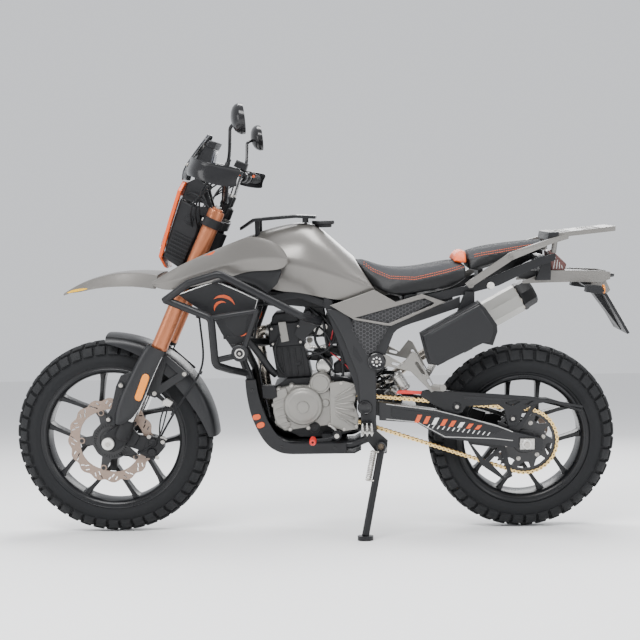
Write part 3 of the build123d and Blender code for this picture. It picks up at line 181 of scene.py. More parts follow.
def piece(name, mesh, slot, *nodes, surface=None, body="chassis", place=PARKED, crease=35, bevel=0.0):
    """Set a drawn form on the motorcycle: place it, give it its finish, and let it ride on its body."""
    mesh.name = name
    mesh.transform(place)
    if surface:
        mesh.materials.clear()
        mesh.materials.append(surface)
    mesh.polygons.foreach_set("use_smooth", [True] * len(mesh.polygons))
    mesh.set_sharp_from_angle(angle=math.radians(crease))
    made = shown(name, mesh)
    if bevel:
        edge = made.modifiers.new("edge", "BEVEL")
        edge.width, edge.segments, edge.limit_method = bevel / 1000, 2, "ANGLE"
        edge.angle_limit, edge.harden_normals = math.radians(crease), False
    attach(made, body)
    if nodes:
        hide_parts(*nodes)
    return made


def lathe(profile, steps=96, centre=(0, 0, 0)):
    """Turn a closed profile of (radius, y) points round an axis along Y."""
    form, rings = bmesh.new(), []
    for k in range(steps):
        a = 2 * math.pi * k / steps
        rings.append([form.verts.new((centre[0] + r * math.cos(a), centre[1] + y, centre[2]
            + r * math.sin(a))) for r, y in profile])
    for near, far in zip(rings, rings[1:] + rings[:1]):
        for k in range(len(profile)):
            m = (k + 1) % len(profile)
            form.faces.new((near[k], near[m], far[m], far[k]))
    return form


def repeated(name, unit, surface, count=None, spots=None):
    """Geometry Nodes copies of a unit form: round an axis along Y, or at spots of (place, facing)."""
    bmesh.ops.recalc_face_normals(unit, faces=unit.faces)
    source = shown(name + "_unit", meshed(unit, name + "_unit"))
    seeds = bpy.data.meshes.new(name)
    seeds.from_pydata([place for place, _ in spots] if spots else [(0, 0, 0)] * count, [], [])
    if spots:
        facing = seeds.attributes.new("facing", "FLOAT_VECTOR", "POINT")
        for value, (_, way) in zip(facing.data, spots):
            value.vector = Vector(way).normalized()
    holder = shown(name, seeds)
    tree = bpy.data.node_groups.new(name + "_copies", "GeometryNodeTree")
    geometry = {"in_out": "INPUT", "socket_type": "NodeSocketGeometry"}
    tree.interface.new_socket("Geometry", **geometry)
    ids = [tree.interface.new_socket(label, in_out="INPUT", socket_type="NodeSocket" + kind).identifier
        for label, kind in (("Unit", "Object"), ("Turn per copy", "Float"), ("Finish", "Material"))]
    tree.interface.new_socket("Geometry", **{**geometry, "in_out": "OUTPUT"})
    given = add(tree, "NodeGroupInput").outputs
    shape = add(tree, "GeometryNodeObjectInfo", {"Object": given["Unit"]}).outputs["Geometry"]
    if spots:
        way = add(tree, "GeometryNodeInputNamedAttribute", {"Name": "facing"}, data_type="FLOAT_VECTOR")
        turn = add(tree, "FunctionNodeAlignRotationToVector", {"Vector": way.outputs["Attribute"]}, axis="Z")
    else:
        index = add(tree, "GeometryNodeInputIndex").outputs["Index"]
        angle = add(tree, "ShaderNodeMath", {0: index, 1: given["Turn per copy"]}, operation="MULTIPLY")
        turn = add(tree, "FunctionNodeAxisAngleToRotation",
            {"Axis": (0, 1, 0), "Angle": angle.outputs["Value"]})
    copies = add(tree, "GeometryNodeInstanceOnPoints", {"Points": given["Geometry"], "Instance": shape,
        "Rotation": turn.outputs["Rotation"]})
    real = add(tree, "GeometryNodeRealizeInstances", {"Geometry": copies.outputs["Instances"]})
    coat = add(tree, "GeometryNodeSetMaterial", {"Geometry": real.outputs["Geometry"],
        "Material": given["Finish"]})
    add(tree, "NodeGroupOutput", {"Geometry": coat.outputs["Geometry"]})
    maker = holder.modifiers.new("copies", "NODES")
    maker.node_group = tree
    for socket, value in zip(ids, (source, 2 * math.pi / (count or 1), surface)):
        maker[socket] = value
    made = realised(holder)
    bpy.data.objects.remove(source)
    return made


def joined(name, *meshes):
    """One mesh out of several, each keeping its own finish."""
    parts = [shown(mesh.name, mesh) for mesh in meshes]
    with bpy.context.temp_override(active_object=parts[0], object=parts[0],
            selected_objects=parts, selected_editable_objects=parts):
        bpy.ops.object.join()
    mesh = parts[0].data
    mesh.name = name
    bpy.data.objects.remove(parts[0])
    return mesh


def assembly(name, parts, slot, *nodes, **how):
    """One piece out of parts that keep their own finishes."""
    return piece(name, joined(name, *parts), slot, *nodes, **how)


def meshed(form, name):
    """The drawn form as a mesh; the form is freed."""
    mesh = bpy.data.meshes.new(name)
    form.to_mesh(mesh)
    form.free()
    return mesh


MERGE_MM = 0.01  # points closer together than this become one


def solid(form, surface):
    """A drawn form as a plain mesh with its finish."""
    bmesh.ops.remove_doubles(form, verts=form.verts, dist=MERGE_MM)
    bmesh.ops.recalc_face_normals(form, faces=form.faces)
    mesh = meshed(form, "solid")
    mesh.materials.append(surface)
    return mesh


rubber = finish("tyre_rubber", (0.01, 0.0105, 0.0115), 0.66, mottle=(0.35, 40), grain=(0.35, 1.2),
    polish=0.1, Specular_IOR_Level=0.2)
tread_rubber = finish("tread_rubber", (0.013, 0.0135, 0.0145), 0.7, mottle=(0.45, 14), grain=(0.7, 2.2),
    polish=0.1, Specular_IOR_Level=0.22)


def tyre(name, axle, outer_r, width, bead_r, rim_w, pitches, body, node):
    """Carcass with moulded sidewall ribs and a ring of blocks: two staggered rows and two shoulders."""
    lug = 11
    base, half = outer_r - lug, width / 2 - 9
    middle = bead_r + 0.44 * (base - bead_r)

    def skin_at(phi, lift):
        """Point on the crown: phi is 0 at the middle and 90 degrees at the widest place."""
        sin, cos = math.sin(phi), math.cos(phi)
        deep, wide = base - middle, half
        out = Vector((cos / deep, sin / wide)).normalized()
        return middle + deep * cos + lift * out.x, wide * sin + lift * out.y

    profile = [skin_at(math.radians(d), 0) for d in range(-90, 91, 6)]
    low = [(middle - 8, half + 0.6), (middle - 12, half - 0.8), (middle - 26, half - 4),
        (bead_r + 17, half - 9), (bead_r + 15, half - 6.5), (bead_r + 12, half - 6.5),
        (bead_r + 10, half - 10), (bead_r + 2, rim_w / 2 - 5), (bead_r, rim_w / 2 - 8),
        (bead_r + 4, rim_w / 2 - 20)]
    shape = [(r, -y) for r, y in reversed(low)] + profile + low
    carcass = lathe(shape, steps=144)

    unit = bmesh.new()
    pitch = 2 * math.pi / pitches
    rows = []
    # columns: from and to across the crown (degrees), share of the pitch from and to, draft
    for side in (-1, 1):
        rows += [
            (side * 4, side * 33, 0.03 if side < 0 else 0.53, 0.86 if side < 0 else 1.36, 1.5),
            (side * 39, side * 74, 0.28 if side < 0 else 0.78, 1.10 if side < 0 else 1.60, 2.0)]
    for phi0, phi1, share0, share1, draft in rows:
        grid = []
        for lift, inset in ((-2, 0), (lug - 1.6, 0.9 * draft), (lug, 2.4 * draft)):
            layer = []
            for i in range(4):
                phi = math.radians(phi0 + (phi1 - phi0) * i / 3)
                across = (1 - 2 * i / 3) * inset / half * (1 if phi1 > phi0 else -1)
                for j in range(3):
                    share = share0 + (share1 - share0) * j / 2
                    a = share * pitch + (1 - j) * inset / base
                    r, y = skin_at(phi + across, lift)
                    layer.append(unit.verts.new((r * math.cos(a), y, r * math.sin(a))))
            grid.append(layer)
        edge = [0, 3, 6, 9, 10, 11, 8, 5, 2, 1]
        for near, far in zip(grid, grid[1:]):
            for k in range(len(edge)):
                a, b = edge[k], edge[(k + 1) % len(edge)]
                unit.faces.new((near[a], near[b], far[b], far[a]))
        for layer, way in ((grid[-1], 1), (grid[0], -1)):
            for k in (0, 1, 3, 4, 6, 7):
                unit.faces.new((layer[k], layer[k + 1], layer[k + 4], layer[k + 3])[::way])
    blocks = repeated(name + "_blocks", unit, tread_rubber, count=pitches)
    whole = joined(name, solid(carcass, rubber), blocks)
    whole.transform(Matrix.Translation(axle))
    return piece(name, whole, "tyre", node, body=body, crease=32)


tyre("front_tyre_rubber", FRONT_AXLE, 341, 112, 241, 76, 44, "front_wheel", "front_tyre")
tyre("rear_tyre_rubber", REAR_AXLE, 325, 138, 216, 98, 40, "rear_wheel", "rear_tyre")


# ---- Cast wheels ----
# One-piece aluminium wheels, cast with five forked spokes, turned at the rim and painted gloss black.
wheel_paint = finish("wheel_paint", (0.007, 0.0074, 0.0085), 0.3, mottle=(0.2, 90), grain=(0.06, 1.5),
    polish=0.05, Specular_IOR_Level=0.3)


def loft(form, sections):
    """Skin through like-numbered closed sections of points, closed at both ends."""
    rings = [[form.verts.new(point) for point in section] for section in sections]
    count = len(rings[0])
    for near, far in zip(rings, rings[1:]):
        for k in range(count):
            m = (k + 1) % count
            form.faces.new((near[k], near[m], far[m], far[k]))
    form.faces.new(rings[0])
    form.faces.new(rings[-1])


def skinned(sections, surface):
    """A part lofted through its sections."""
    form = bmesh.new()
    loft(form, sections)
    return solid(form, surface)


def polar(r, degrees, x=0, z=0):
    """The (x, z) spot at a radius and an angle, round the given centre."""
    a = math.radians(degrees)
    return x + r * math.cos(a), z + r * math.sin(a)


def spot_at(r, degrees, y=0):
    """The spot at a radius and an angle round an axis along Y."""
    x, z = polar(r, degrees)
    return Vector((x, y, z))


def oblong(wide, deep, corner=0.45, steps=3):
    """Rounded section of half sizes wide and deep, as (across, along Y) pairs."""
    r = corner * min(wide, deep)
    points = []
    for k, (sx, sy) in enumerate(((1, 1), (-1, 1), (-1, -1), (1, -1))):
        for j in range(steps + 1):
            a = math.pi / 2 * (k + j / steps)
            points.append((sx * (wide - r) + r * math.cos(a), sy * (deep - r) + r * math.sin(a)))
    return points


def cast_wheel(name, axle, bead_r, rim_w, spread, first, hub_r, hub_half, body, node):
    """Rim, hub and five forked spokes in one casting."""
    half, lip, inner = rim_w / 2, bead_r + 15, bead_r - 14
    side = [(bead_r - 6, half - 20), (bead_r - 2, half - 14), (bead_r - 0.5, half - 4), (lip - 3, half - 3),
        (lip, half), (lip - 1, half + 3.4), (lip - 5, half + 4), (lip - 8, half + 2), (lip - 12, half + 1.4),
        (lip - 14, half + 3), (lip - 19, half + 3), (lip - 22, half + 0.4), (inner + 3, half - 3),
        (inner, half - 12)]
    hub_side = [(12, -hub_half), (0.62 * hub_r, -hub_half), (0.7 * hub_r, -hub_half + 5),
        (hub_r - 3, -hub_half + 8), (hub_r, -hub_half + 12), (hub_r - 6, -8)]
    barrel, hub = (solid(lathe(profile + [(r, -y) for r, y in reversed(profile)], steps), wheel_paint)
        for profile, steps in ((side, 144), (hub_side, 64)))
    unit = bmesh.new()
    fork = 0.49 * bead_r

    def spoke(start, end, columns):
        """One arm; columns: place along it, half its width, half its depth."""
        across = (end - start).normalized().cross(Vector((0, 1, 0)))
        loft(unit, [[start.lerp(end, share) + across * u + Vector((0, v, 0)) for u, v in oblong(wide, deep)]
            for share, wide, deep in columns])

    spoke(spot_at(hub_r - 7, 0), spot_at(fork + 5, 0),
        ((0, 21, 26), (0.2, 16, 25), (0.6, 13, 22), (0.9, 14, 20), (1, 9, 16)))
    for arm in (-1, 1):
        spoke(spot_at(fork - 14, arm * 2), spot_at(inner + 5, arm * spread), (
            (0, 7, 18), (0.15, 7.4, 19), (0.5, 6.4, 18), (0.82, 7.4, 21), (0.93, 10, 24),
            (1, 15, 27)))
    spokes = repeated(name + "_spokes", unit, wheel_paint, count=5)
    spokes.transform(Matrix.Rotation(math.radians(-first), 4, "Y"))
    whole = joined(name, barrel, hub, spokes)
    whole.transform(Matrix.Translation(axle))
    return piece(name, whole, "rim_black", node, body=body, crease=40)


cast_wheel("front_wheel_casting", FRONT_AXLE, 241, 76, 22.5, 48, 36, 38, "front_wheel", "front_rim")
cast_wheel("rear_wheel_casting", REAR_AXLE, 216, 98, 21.5, 268.7, 48, 60, "rear_wheel", "rear_rim")


# ---- Brake discs ----
# Wave discs laser-cut from stainless plate and ground, tinted by heat; slots sweep the pads. The rotor is
# bolted by its inner tabs to a black carrier on the hub.
disc_steel = finish("disc_steel", (0.24, 0.175, 0.138), 0.42, metal=0.25, mottle=(0.14, 30),
    grain=(0.12, 0.5), polish=0.1)
carrier_black = finish("carrier_black", (0.01, 0.01, 0.011), 0.45, mottle=(0.2, 20), grain=(0.25, 0.7))
bolt_steel = finish("bolt_steel", (0.42, 0.4, 0.37), 0.36, metal=0.9, mottle=(0.2, 5), polish=0.1)


def circle(x, z, r, steps=24):
    """Outline of a circle."""
    return [polar(r, 360 * k / steps, x, z) for k in range(steps)]


def slot(x, z, length, wide, degrees, steps=6):
    """Outline of a round-ended slot."""
    cos, sin, points = math.cos(math.radians(degrees)), math.sin(math.radians(degrees)), []
    for end in (1, -1):
        for k in range(steps + 1):
            a = math.pi * (k / steps - 0.5)
            u, v = end * (length / 2 - wide / 2 + wide / 2 * math.cos(a)), end * wide / 2 * math.sin(a)
            points.append((x + u * cos - v * sin, z + u * sin + v * cos))
    return points


def plate(outer, y, thick, surface, soft=0.5, holes=()):
    """A flat piece cut along closed (x, z) outlines, with softened edges, its middle at y."""
    sheet = bpy.data.curves.new("plate", "CURVE")
    sheet.dimensions, sheet.fill_mode = "2D", "BOTH"
    sheet.extrude, sheet.bevel_depth, sheet.offset, sheet.bevel_resolution = thick / 2 - soft, soft, -soft, 1
    for loop in (outer, *holes):
        line = sheet.splines.new("POLY")
        line.points.add(len(loop) - 1)
        line.use_cyclic_u = True
        for spot, (x, z) in zip(line.points, loop):
            spot.co = (x, z, 0, 1)
    mesh = realised(shown("plate", sheet), surface)
    mesh.transform(Matrix.Translation((0, y, 0)) @ STAND_UP)
    return mesh


def bolt_head(r=5.0, tall=4.0, socket=2.6):
    """Cap screw standing on Z, with a round recess in its head."""
    head = bmesh.new()
    loft(head, [[(*polar(radius, 20 * k), z) for k in range(18)] for radius, z in
        ((r * 1.25, 0), (r * 1.25, 0.8), (r, 1.0), (r, tall - 0.5), (r - 0.5, tall), (socket, tall),
         (socket, tall * 0.4))])
    return head


def wave_disc(name, axle, y, outer_r, inner_r, waves, tabs, out, body, node):
    """A disc with a scalloped edge, slanted slots and lugs, on a dished carrier."""
    band, lug_r, arm_r = outer_r - inner_r, inner_r - 8, inner_r * 0.62
    lug_turns = [360 * k / tabs + 36 for k in range(tabs)]
    edge = [polar(outer_r - 0.082 * band * (1 - math.cos(waves * 2 * math.pi * k / 240)) ** 1.3, 1.5 * k)
        for k in range(240)]
    bore = [polar(inner_r + 2.0 * math.cos(tabs * 2 * math.pi * k / 120), 3 * k) for k in range(120)]
    slots = []
    for k in range(waves):
        lean = 1 if k % 2 else -1
        for share, angle, length in ((0.63, -4.5, 0.37), (0.38, 0.3, 0.38), (0.64, 5.4, 0.35)):
            a = 360 * k / waves + lean * angle
            slots.append(slot(*polar(inner_r + share * band, a), length * band, 0.1 * band, a + 38 * lean))
    rotor = plate(edge, y, 4.5, disc_steel, holes=[bore] + slots)
    lugs = [plate(circle(*polar(lug_r, a), 11), y, 4.3, disc_steel, holes=[circle(*polar(lug_r, a), 4)])
        for a in lug_turns]
    # carrier: a ring with an arm to each tab, dished towards the hub
    star = []
    for a in lug_turns:
        star += [polar(r, a + turn) for r, turn in ((arm_r, -30), (arm_r, -14), (inner_r - 2, -5.5),
            (inner_r - 0.5, 0), (inner_r - 2, 5.5), (arm_r, 14))]
    spider = plate(star, y - out * 2.4, 3.6, carrier_black, 1, holes=[circle(0, 0, 24, 32)])
    slots = [slot(*polar(inner_r * 0.5, 9 * k), 11, 3, 9 * k) for k in range(40)]
    ring = plate(circle(0, 0, inner_r * 0.58, 64), y + out * 1.5, 2.4, carrier_black, 0.3,
        holes=[circle(0, 0, inner_r * 0.36, 40)] + slots)
    spots = [(spot_at(lug_r, a, y + out * 2.2), (0, out, 0)) for a in lug_turns]
    bolts = repeated(name + "_bolts", bolt_head(5.5, 2.4, 3), carrier_black, spots=spots)
    whole = joined(name, rotor, *lugs, spider, ring, bolts)
    whole.transform(Matrix.Translation(axle))
    return piece(name, whole, "disc_steel", node, body=body, crease=40)


wave_disc("front_wave_disc", FRONT_AXLE, -74, 149, 110, 16, 5, -1, "front_wheel", "front_disc")
wave_disc("rear_wave_disc", REAR_AXLE, 90, 112, 82, 12, 5, 1, "rear_wheel", "rear_disc")


# ---- Chain and sprocket ----
# Gold-plated roller chain of 15.875 mm pitch, pressed plates on pins, round a black 44-tooth sprocket.
PITCH, CHAIN_Y = 15.875, -90
TEETH = {"front": 16, "rear": 44}
COUNTERSHAFT = Vector((105, 0, 455))
chain_gold = finish("chain_gold", (0.8, 0.56, 0.22), 0.3, metal=0.85, mottle=(0.16, 6), polish=0.08)
pin_steel = finish("pin_steel", (0.06, 0.045, 0.03), 0.4, metal=0.6, mottle=(0.2, 4))
sprocket_black = finish("sprocket_black", (0.01, 0.01, 0.011), 0.4, mottle=(0.2, 30), grain=(0.12, 0.6))


def pitch_r(teeth):
    """Pitch radius of a sprocket."""
    return PITCH / 2 / math.sin(math.pi / teeth)


def chain_loop():
    """Centres and headings of the links, round both sprockets."""
    small, large = pitch_r(TEETH["front"]), pitch_r(TEETH["rear"])
    span = REAR_AXLE - COUNTERSHAFT
    heading, flare = math.atan2(span.z, span.x), math.asin((large - small) / span.length)
    run = math.sqrt(span.length ** 2 - (large - small) ** 2)
    up, down = heading + math.pi / 2 + flare, heading - math.pi / 2 - flare
    rear_arc, front_arc = large * (up - down), small * (2 * math.pi - (up - down))
    total = 2 * run + rear_arc + front_arc
    links = 2 * round(total / PITCH / 2)

    def pin(s):
        s %= total
        if s < run or rear_arc + run <= s < rear_arc + 2 * run:
            share = s / run if s < run else 1 - (s - run - rear_arc) / run
            way, r = (up if s < run else down), small + (large - small) * share
            return COUNTERSHAFT + span * share + r * Vector((math.cos(way), 0, math.sin(way)))
        if s < run + rear_arc:
            way, centre, r = up - (s - run) / large, REAR_AXLE, large
        else:
            way, centre, r = down - (s - 2 * run - rear_arc) / small, COUNTERSHAFT, small
        return centre + r * Vector((math.cos(way), 0, math.sin(way)))

    pins = [pin(total * k / links) for k in range(links)]
    return [((a + b) / 2 + Vector((0, CHAIN_Y, 0)), b - a) for a, b in zip(pins, pins[1:] + pins[:1])]


def link_form(plate_y, plate_t):
    """A pair of waisted side plates, length along Z."""
    form = bmesh.new()
    eye, waist, half = 6.2, 3.4, PITCH / 2
    outline = []
    for end in (1, -1):
        for k in range(7):
            a = math.radians(-30 + 240 * k / 6)
            outline.append((end * eye * math.cos(a), end * (half + eye * math.sin(a))))
        outline.append((-end * waist, 0))
    for side in (-1, 1):
        loft(form, [[(x, y, z) for x, z in outline] for y in (side * plate_y, side * (plate_y + plate_t))])
    return form


def pin_form(pin_r, pin_half):
    """The two pins of a link, along Y."""
    form = bmesh.new()
    for end in (-1, 1):
        loft(form, [[(x, y, z) for x, z in circle(0, end * PITCH / 2, pin_r, 10)]
            for y in (-pin_half, pin_half)])
    return form


links = chain_loop()
outer_links = repeated("outer_links", link_form(7.4, 1.8), chain_gold, spots=links[0::2])
inner_links = repeated("inner_links", link_form(5.0, 1.8), chain_gold, spots=links[1::2])
pins_across = repeated("chain_pins", pin_form(2.7, 9.8), pin_steel, spots=links[0::2])
rollers = repeated("chain_rollers", pin_form(4.6, 5.1), pin_steel, spots=links[1::2])
assembly("drive_chain", (outer_links, inner_links, pins_across, rollers), "chain_gold", "chain", crease=30)


def sprocket(axle, teeth, hub_r):
    """Toothed gear with windows, on a bolted boss."""
    r = pitch_r(teeth)
    edge = []
    for k in range(teeth):
        for share, radius in ((0, r - 4.6), (0.2, r - 3.4), (0.38, r + 2.6), (0.5, r + 3.6), (0.62, r + 2.6),
                (0.8, r - 3.4)):
            edge.append(polar(radius, 360 * (k + share) / teeth))
    windows = []
    for k in range(10):
        a0 = 36 * k
        windows.append([polar(r - 15, a0 + 3), polar(r - 14, a0 + 15), polar(r - 15, a0 + 31),
            polar(r - 34, a0 + 29), polar(r - 36, a0 + 22), polar(r - 34, a0 + 14)])
    gear = plate(edge, CHAIN_Y, 6, sprocket_black, 0.8, holes=windows + [circle(0, 0, hub_r * 0.72, 40)])
    boss = solid(lathe([(16, -12), (hub_r - 4, -12), (hub_r, -8), (hub_r + 6, -6), (hub_r + 6, 2),
        (hub_r * 0.7, 10), (16, 10)], 56, Vector((0, CHAIN_Y + 6, 0))), sprocket_black)
    spots = [(spot_at(r - 46, 60 * k + 12, CHAIN_Y - 3), (0, -1, 0)) for k in range(6)]
    nuts = repeated("sprocket_bolts", bolt_head(6, 6, 3.4), bolt_steel, spots=spots)
    whole = joined("rear_sprocket_gear", gear, boss, nuts)
    whole.transform(Matrix.Translation(axle))
    return piece("rear_sprocket_gear", whole, "frame_black", "rear_sprocket", body="rear_wheel", crease=40)


sprocket(REAR_AXLE, TEETH["rear"], 44)


# ---- Fuel tank ----
# Pressed steel saddle tank in satin titanium-grey paint. A crease runs back along each flank;
# below it the side turns under towards the engine.
body_grey = finish("body_grey", (0.155, 0.147, 0.136), 0.3, metal=0.45, mottle=(0.03, 120),
    grain=(0.03, 0.6), polish=0.03, Coat_Weight=0.25, Coat_Roughness=0.22)
seam_black = finish("seam_black", (0.008, 0.008, 0.009), 0.6, mottle=(0.2, 20), grain=(0.3, 0.8))


def moulded(rows, surface, columns=None, stations=None, loop=False, cap=False, thick=0.0, levels=2):
    """Smooth mesh through rows of points; the numbered columns and stations keep creases."""
    form = bmesh.new()
    grid = [[form.verts.new(point) for point in row] for row in rows]
    sharp = form.edges.layers.float.new("crease_edge")
    count = len(rows[0])
    for near, far in zip(grid, grid[1:]):
        for k in range(count if loop else count - 1):
            m = (k + 1) % count
            form.faces.new((near[k], near[m], far[m], far[k]))
    if cap:
        form.faces.new(grid[0])
        form.faces.new(grid[-1])
    for column, amount in (columns or {}).items():
        for near, far in zip(grid, grid[1:]):
            form.edges.get((near[column], far[column]))[sharp] = amount
    for station, amount in (stations or {}).items():
        row = grid[station]
        for a, b in zip(row, row[1:] + row[:1] if loop else row[1:]):
            form.edges.get((a, b))[sharp] = amount
    bmesh.ops.recalc_face_normals(form, faces=form.faces)
    work = shown("moulding", meshed(form, "moulding"))
    smooth = work.modifiers.new("smooth", "SUBSURF")
    smooth.levels = smooth.render_levels = levels
    if thick:
        wall = work.modifiers.new("wall", "SOLIDIFY")
        wall.thickness, wall.offset = thick, 0
    made = realised(work, surface)
    whole = bmesh.new()
    whole.from_mesh(made)
    bmesh.ops.recalc_face_normals(whole, faces=whole.faces)
    whole.to_mesh(made)
    whole.free()
    return made


def across(half):
    """Both halves of a closed section from its right half, which starts and ends on the middle plane."""
    return half + [(x, -y, z) for x, y, z in reversed(half[1:-1])]


REAR_SLOPE = 0.657  # the tank's rear edge leans back as it goes down
tank_rows = []
# columns: x, slope, then height and half width of the roof edge, shoulder, crease, turn-under and hem
for x, slope, top, roof, shoulder, ridge, under, hem in (
        (-214, 0, 1034, (1030, 40), (1000, 76), (968, 98), (952, 98), (938, 92)),
        (-196, 0, 1044, (1040, 44), (1006, 92), (964, 118), (935, 118), (908, 106)),
        (-140, 0, 1062, (1058, 52), (1018, 118), (964, 150), (900, 140), (850, 126)),
        (-60, 0, 1077, (1073, 56), (1026, 132), (946, 160), (895, 148), (852, 130)),
        (0, 0, 1076, (1072, 54), (1020, 128), (930, 158), (880, 146), (836, 132)),
        (60, 0.22, 1022, (1018, 50), (984, 110), (908, 150), (862, 142), (815, 134)),
        (104, 0.48, 982, (978, 46), (952, 92), (880, 138), (858, 136), (832, 130)),
        (131, REAR_SLOPE, 959, (955, 42), (932, 76), (868, 128), (860, 128), (856, 124))):
    half = [(x, 0, top)] + [(x + slope * (top - z), y, z) for z, y in (roof, shoulder, ridge, under, hem)]
    half.append((half[-1][0], 0, hem[0] + 4))
    tank_rows.append(across(half))
tank = moulded(tank_rows, body_grey, columns={1: 0.35, 11: 0.35, 3: 0.75, 9: 0.75, 5: 1, 7: 1},
    stations={0: 0.9, 7: 1}, loop=True, cap=True)
cap_ring = solid(lathe([(0.5, 0), (27, 0), (29, -2), (29, -9), (36, -10), (38, -13), (38, -22), (0.5, -22)],
    48), seam_black)
cap_ring.transform(Matrix.Translation((30, 0, 1058)) @ Matrix.Rotation(math.radians(-90), 4, "X"))
piece("tank_shell", tank, "body_gray", "fuel_tank", crease=50)
piece("filler_cap", cap_ring, "black_plastic", crease=30)


# ---- Front shrouds ----
# Injection-moulded grey wings that guide air to the radiators, with a black inner duct below each. A long
# crease sweeps back to a point against the tank, and plain printed bands lie along it.
trim_black = finish("trim_black", (0.0105, 0.0108, 0.012), 0.4, mottle=(0.12, 40), grain=(0.35, 0.9),
    Specular_IOR_Level=0.28)
band_white = finish("band_white", (0.62, 0.62, 0.61), 0.4, mottle=(0.03, 60))
signal_orange = finish("signal_orange", (0.6, 0.075, 0.006), 0.36, mottle=(0.05, 30), grain=(0.05, 0.8))

# columns: x, top height, crease height, hem height, distance from the middle
WING = ((-532, 890, 886, 878, 152), (-490, 914, 890, 863, 164), (-436, 946, 903, 868, 178),
    (-330, 990, 936, 890, 196), (-250, 1022, 956, 914, 202), (-209, 1036, 964, 926, 204),
    (-168, 1036, 968, 928, 205), (-100, 1009, 968, 928, 207), (-81, 966, 962, 952, 207))
BAND_LIFT = 0.7  # how far a printed band stands on the wing


def wing_at(x, share):
    """Outer skin of the wing: share 0 at the hem, 1 at the top edge."""
    for near, far in zip(WING, WING[1:]):
        if x <= far[0]:
            t = (x - near[0]) / (far[0] - near[0])
            top, ridge, hem, y = (a + (b - a) * t for a, b in zip(near[1:], far[1:]))
            rise = (ridge - hem) / (top - hem)
            if share < rise:
                return Vector((x, y - 9 * (1 - share / rise), hem + share * (top - hem)))
            return Vector((x, y - 11 * (share - rise) / (1 - rise), hem + share * (top - hem)))


def band(points, surface, side):
    """A printed band laid on the wing: its outline given as (x, share up the wing)."""
    upper, lower = points[:len(points) // 2], points[len(points) // 2:][::-1]
    steps = 14
    rows = []
    for line in (upper, lower):
        row = []
        for k in range(steps + 1):
            at = k / steps * (len(line) - 1)
            i = min(int(at), len(line) - 2)
            x, share = (a + (b - a) * (at - i) for a, b in zip(line[i], line[i + 1]))
            spot = wing_at(x, share)
            row.append((x, side * (spot.y + BAND_LIFT), spot.z))
        rows.append(row)
    return moulded(rows, surface, thick=0.5, levels=1)


for side, name in ((-1, "left"), (1, "right")):
    rows = []
    for x, top, ridge, hem, y in WING:
        rows.append([(x, side * (y - 26), top - 6 if x > -260 else top - 3), (x, side * (y - 11), top),
            (x, side * (y - 4), (top + ridge) / 2 + 2), (x, side * y, ridge),
            (x, side * (y - 5), (ridge + hem) / 2), (x, side * (y - 9), hem), (x, side * (y - 22), hem + 3)])
    wing = moulded(rows, body_grey, columns={1: 0.6, 3: 0.85, 5: 0.9}, thick=3)
    bands = [
        band(((-425, 0.84), (-310, 0.86), (-200, 0.8), (-210, 0.68), (-312, 0.7), (-420, 0.66)), band_white,
            side),
        band(((-408, 0.97), (-360, 0.97), (-314, 0.97), (-320, 0.9), (-364, 0.9), (-416, 0.9)),
            signal_orange, side)]
    duct = moulded([[(x, side * y, z) for y, z in ((188, top), (193, (top + low) / 2), (186, low))]
        for x, top, low in ((-330, 892, 884), (-277, 912, 900), (-200, 930, 893), (-150, 930, 852),
        (-118, 930, 882), (-103, 930, 922))], trim_black, thick=4, stations={3: 0.8, 4: 0.6})
    assembly(f"shroud_{name}", (wing, *bands), "body_gray", "front_shrouds", crease=50)
    piece(f"shroud_duct_{name}", duct, "black_plastic", crease=50)


# ---- Beak ----
# High front mudguard, injection-moulded with a raised middle, folded edges and a small amber patch at its
# tip.
patch_amber = finish("patch_amber", (0.66, 0.37, 0.003), 0.4, mottle=(0.04, 60))
beak_rows = []
# columns: x, ridge height, edge height, half width of the raised top, half width
for x, ridge, edge, deck, w in ((-862, 846, 841, 12, 17), (-842, 858, 848, 16, 26), (-806, 878, 850, 24, 42),
        (-760, 896, 861, 36, 54), (-714, 908, 868, 44, 64), (-677, 916, 871, 52, 74),
        (-620, 920, 873, 62, 90), (-568, 918, 871, 78, 114), (-522, 912, 868, 100, 150)):
    beak_rows.append([(x, y, z) for y, z in ((w - 6, edge + 2), (w, edge), (deck + 4, ridge - 9),
        (deck, ridge - 4), (0, ridge), (-deck, ridge - 4), (-deck - 4, ridge - 9), (-w, edge),
        (-w + 6, edge + 2))])
beak = moulded(beak_rows, body_grey, columns={1: 0.8, 7: 0.8, 3: 0.6, 5: 0.6}, thick=3.2)
patches = [moulded([[(x, side * (y + 0.8), z) for y, z in ((w, low), (w - 4, high))]
    for x, w, low, high in ((-858, 19, 842, 844), (-830, 32, 850, 858), (-806, 42, 853, 862),
    (-770, 51, 861, 866))], patch_amber, thick=0.6, levels=1) for side in (-1, 1)]
assembly("beak_moulding", (beak, *patches), "body_gray", "beak", crease=50)


# ---- Side panels ----
# Grey moulded frames under the seat, each round a black honeycomb vent.
mesh_black = finish("mesh_black", (0.05, 0.05, 0.053), 0.5, mottle=(0.15, 10), grain=(0.3, 0.8))
PANEL = [(52, 806), (199, 856), (270, 815), (357, 840), (436, 812), (253, 735), (236, 737), (132, 757)]
OPENING = [(136, 764), (340, 819), (366, 825), (398, 810), (388, 802), (245, 744)]
VENT = [(128, 768), (343, 824), (398, 814), (252, 740), (196, 648), (170, 643), (131, 722)]


def inside(spot, outline):
    """True where an (x, z) spot lies within an outline."""
    x, z = spot
    hit = False
    for (x0, z0), (x1, z1) in zip(outline, outline[1:] + outline[:1]):
        if (z0 > z) != (z1 > z) and x < x0 + (z - z0) * (x1 - x0) / (z1 - z0):
            hit = not hit
    return hit


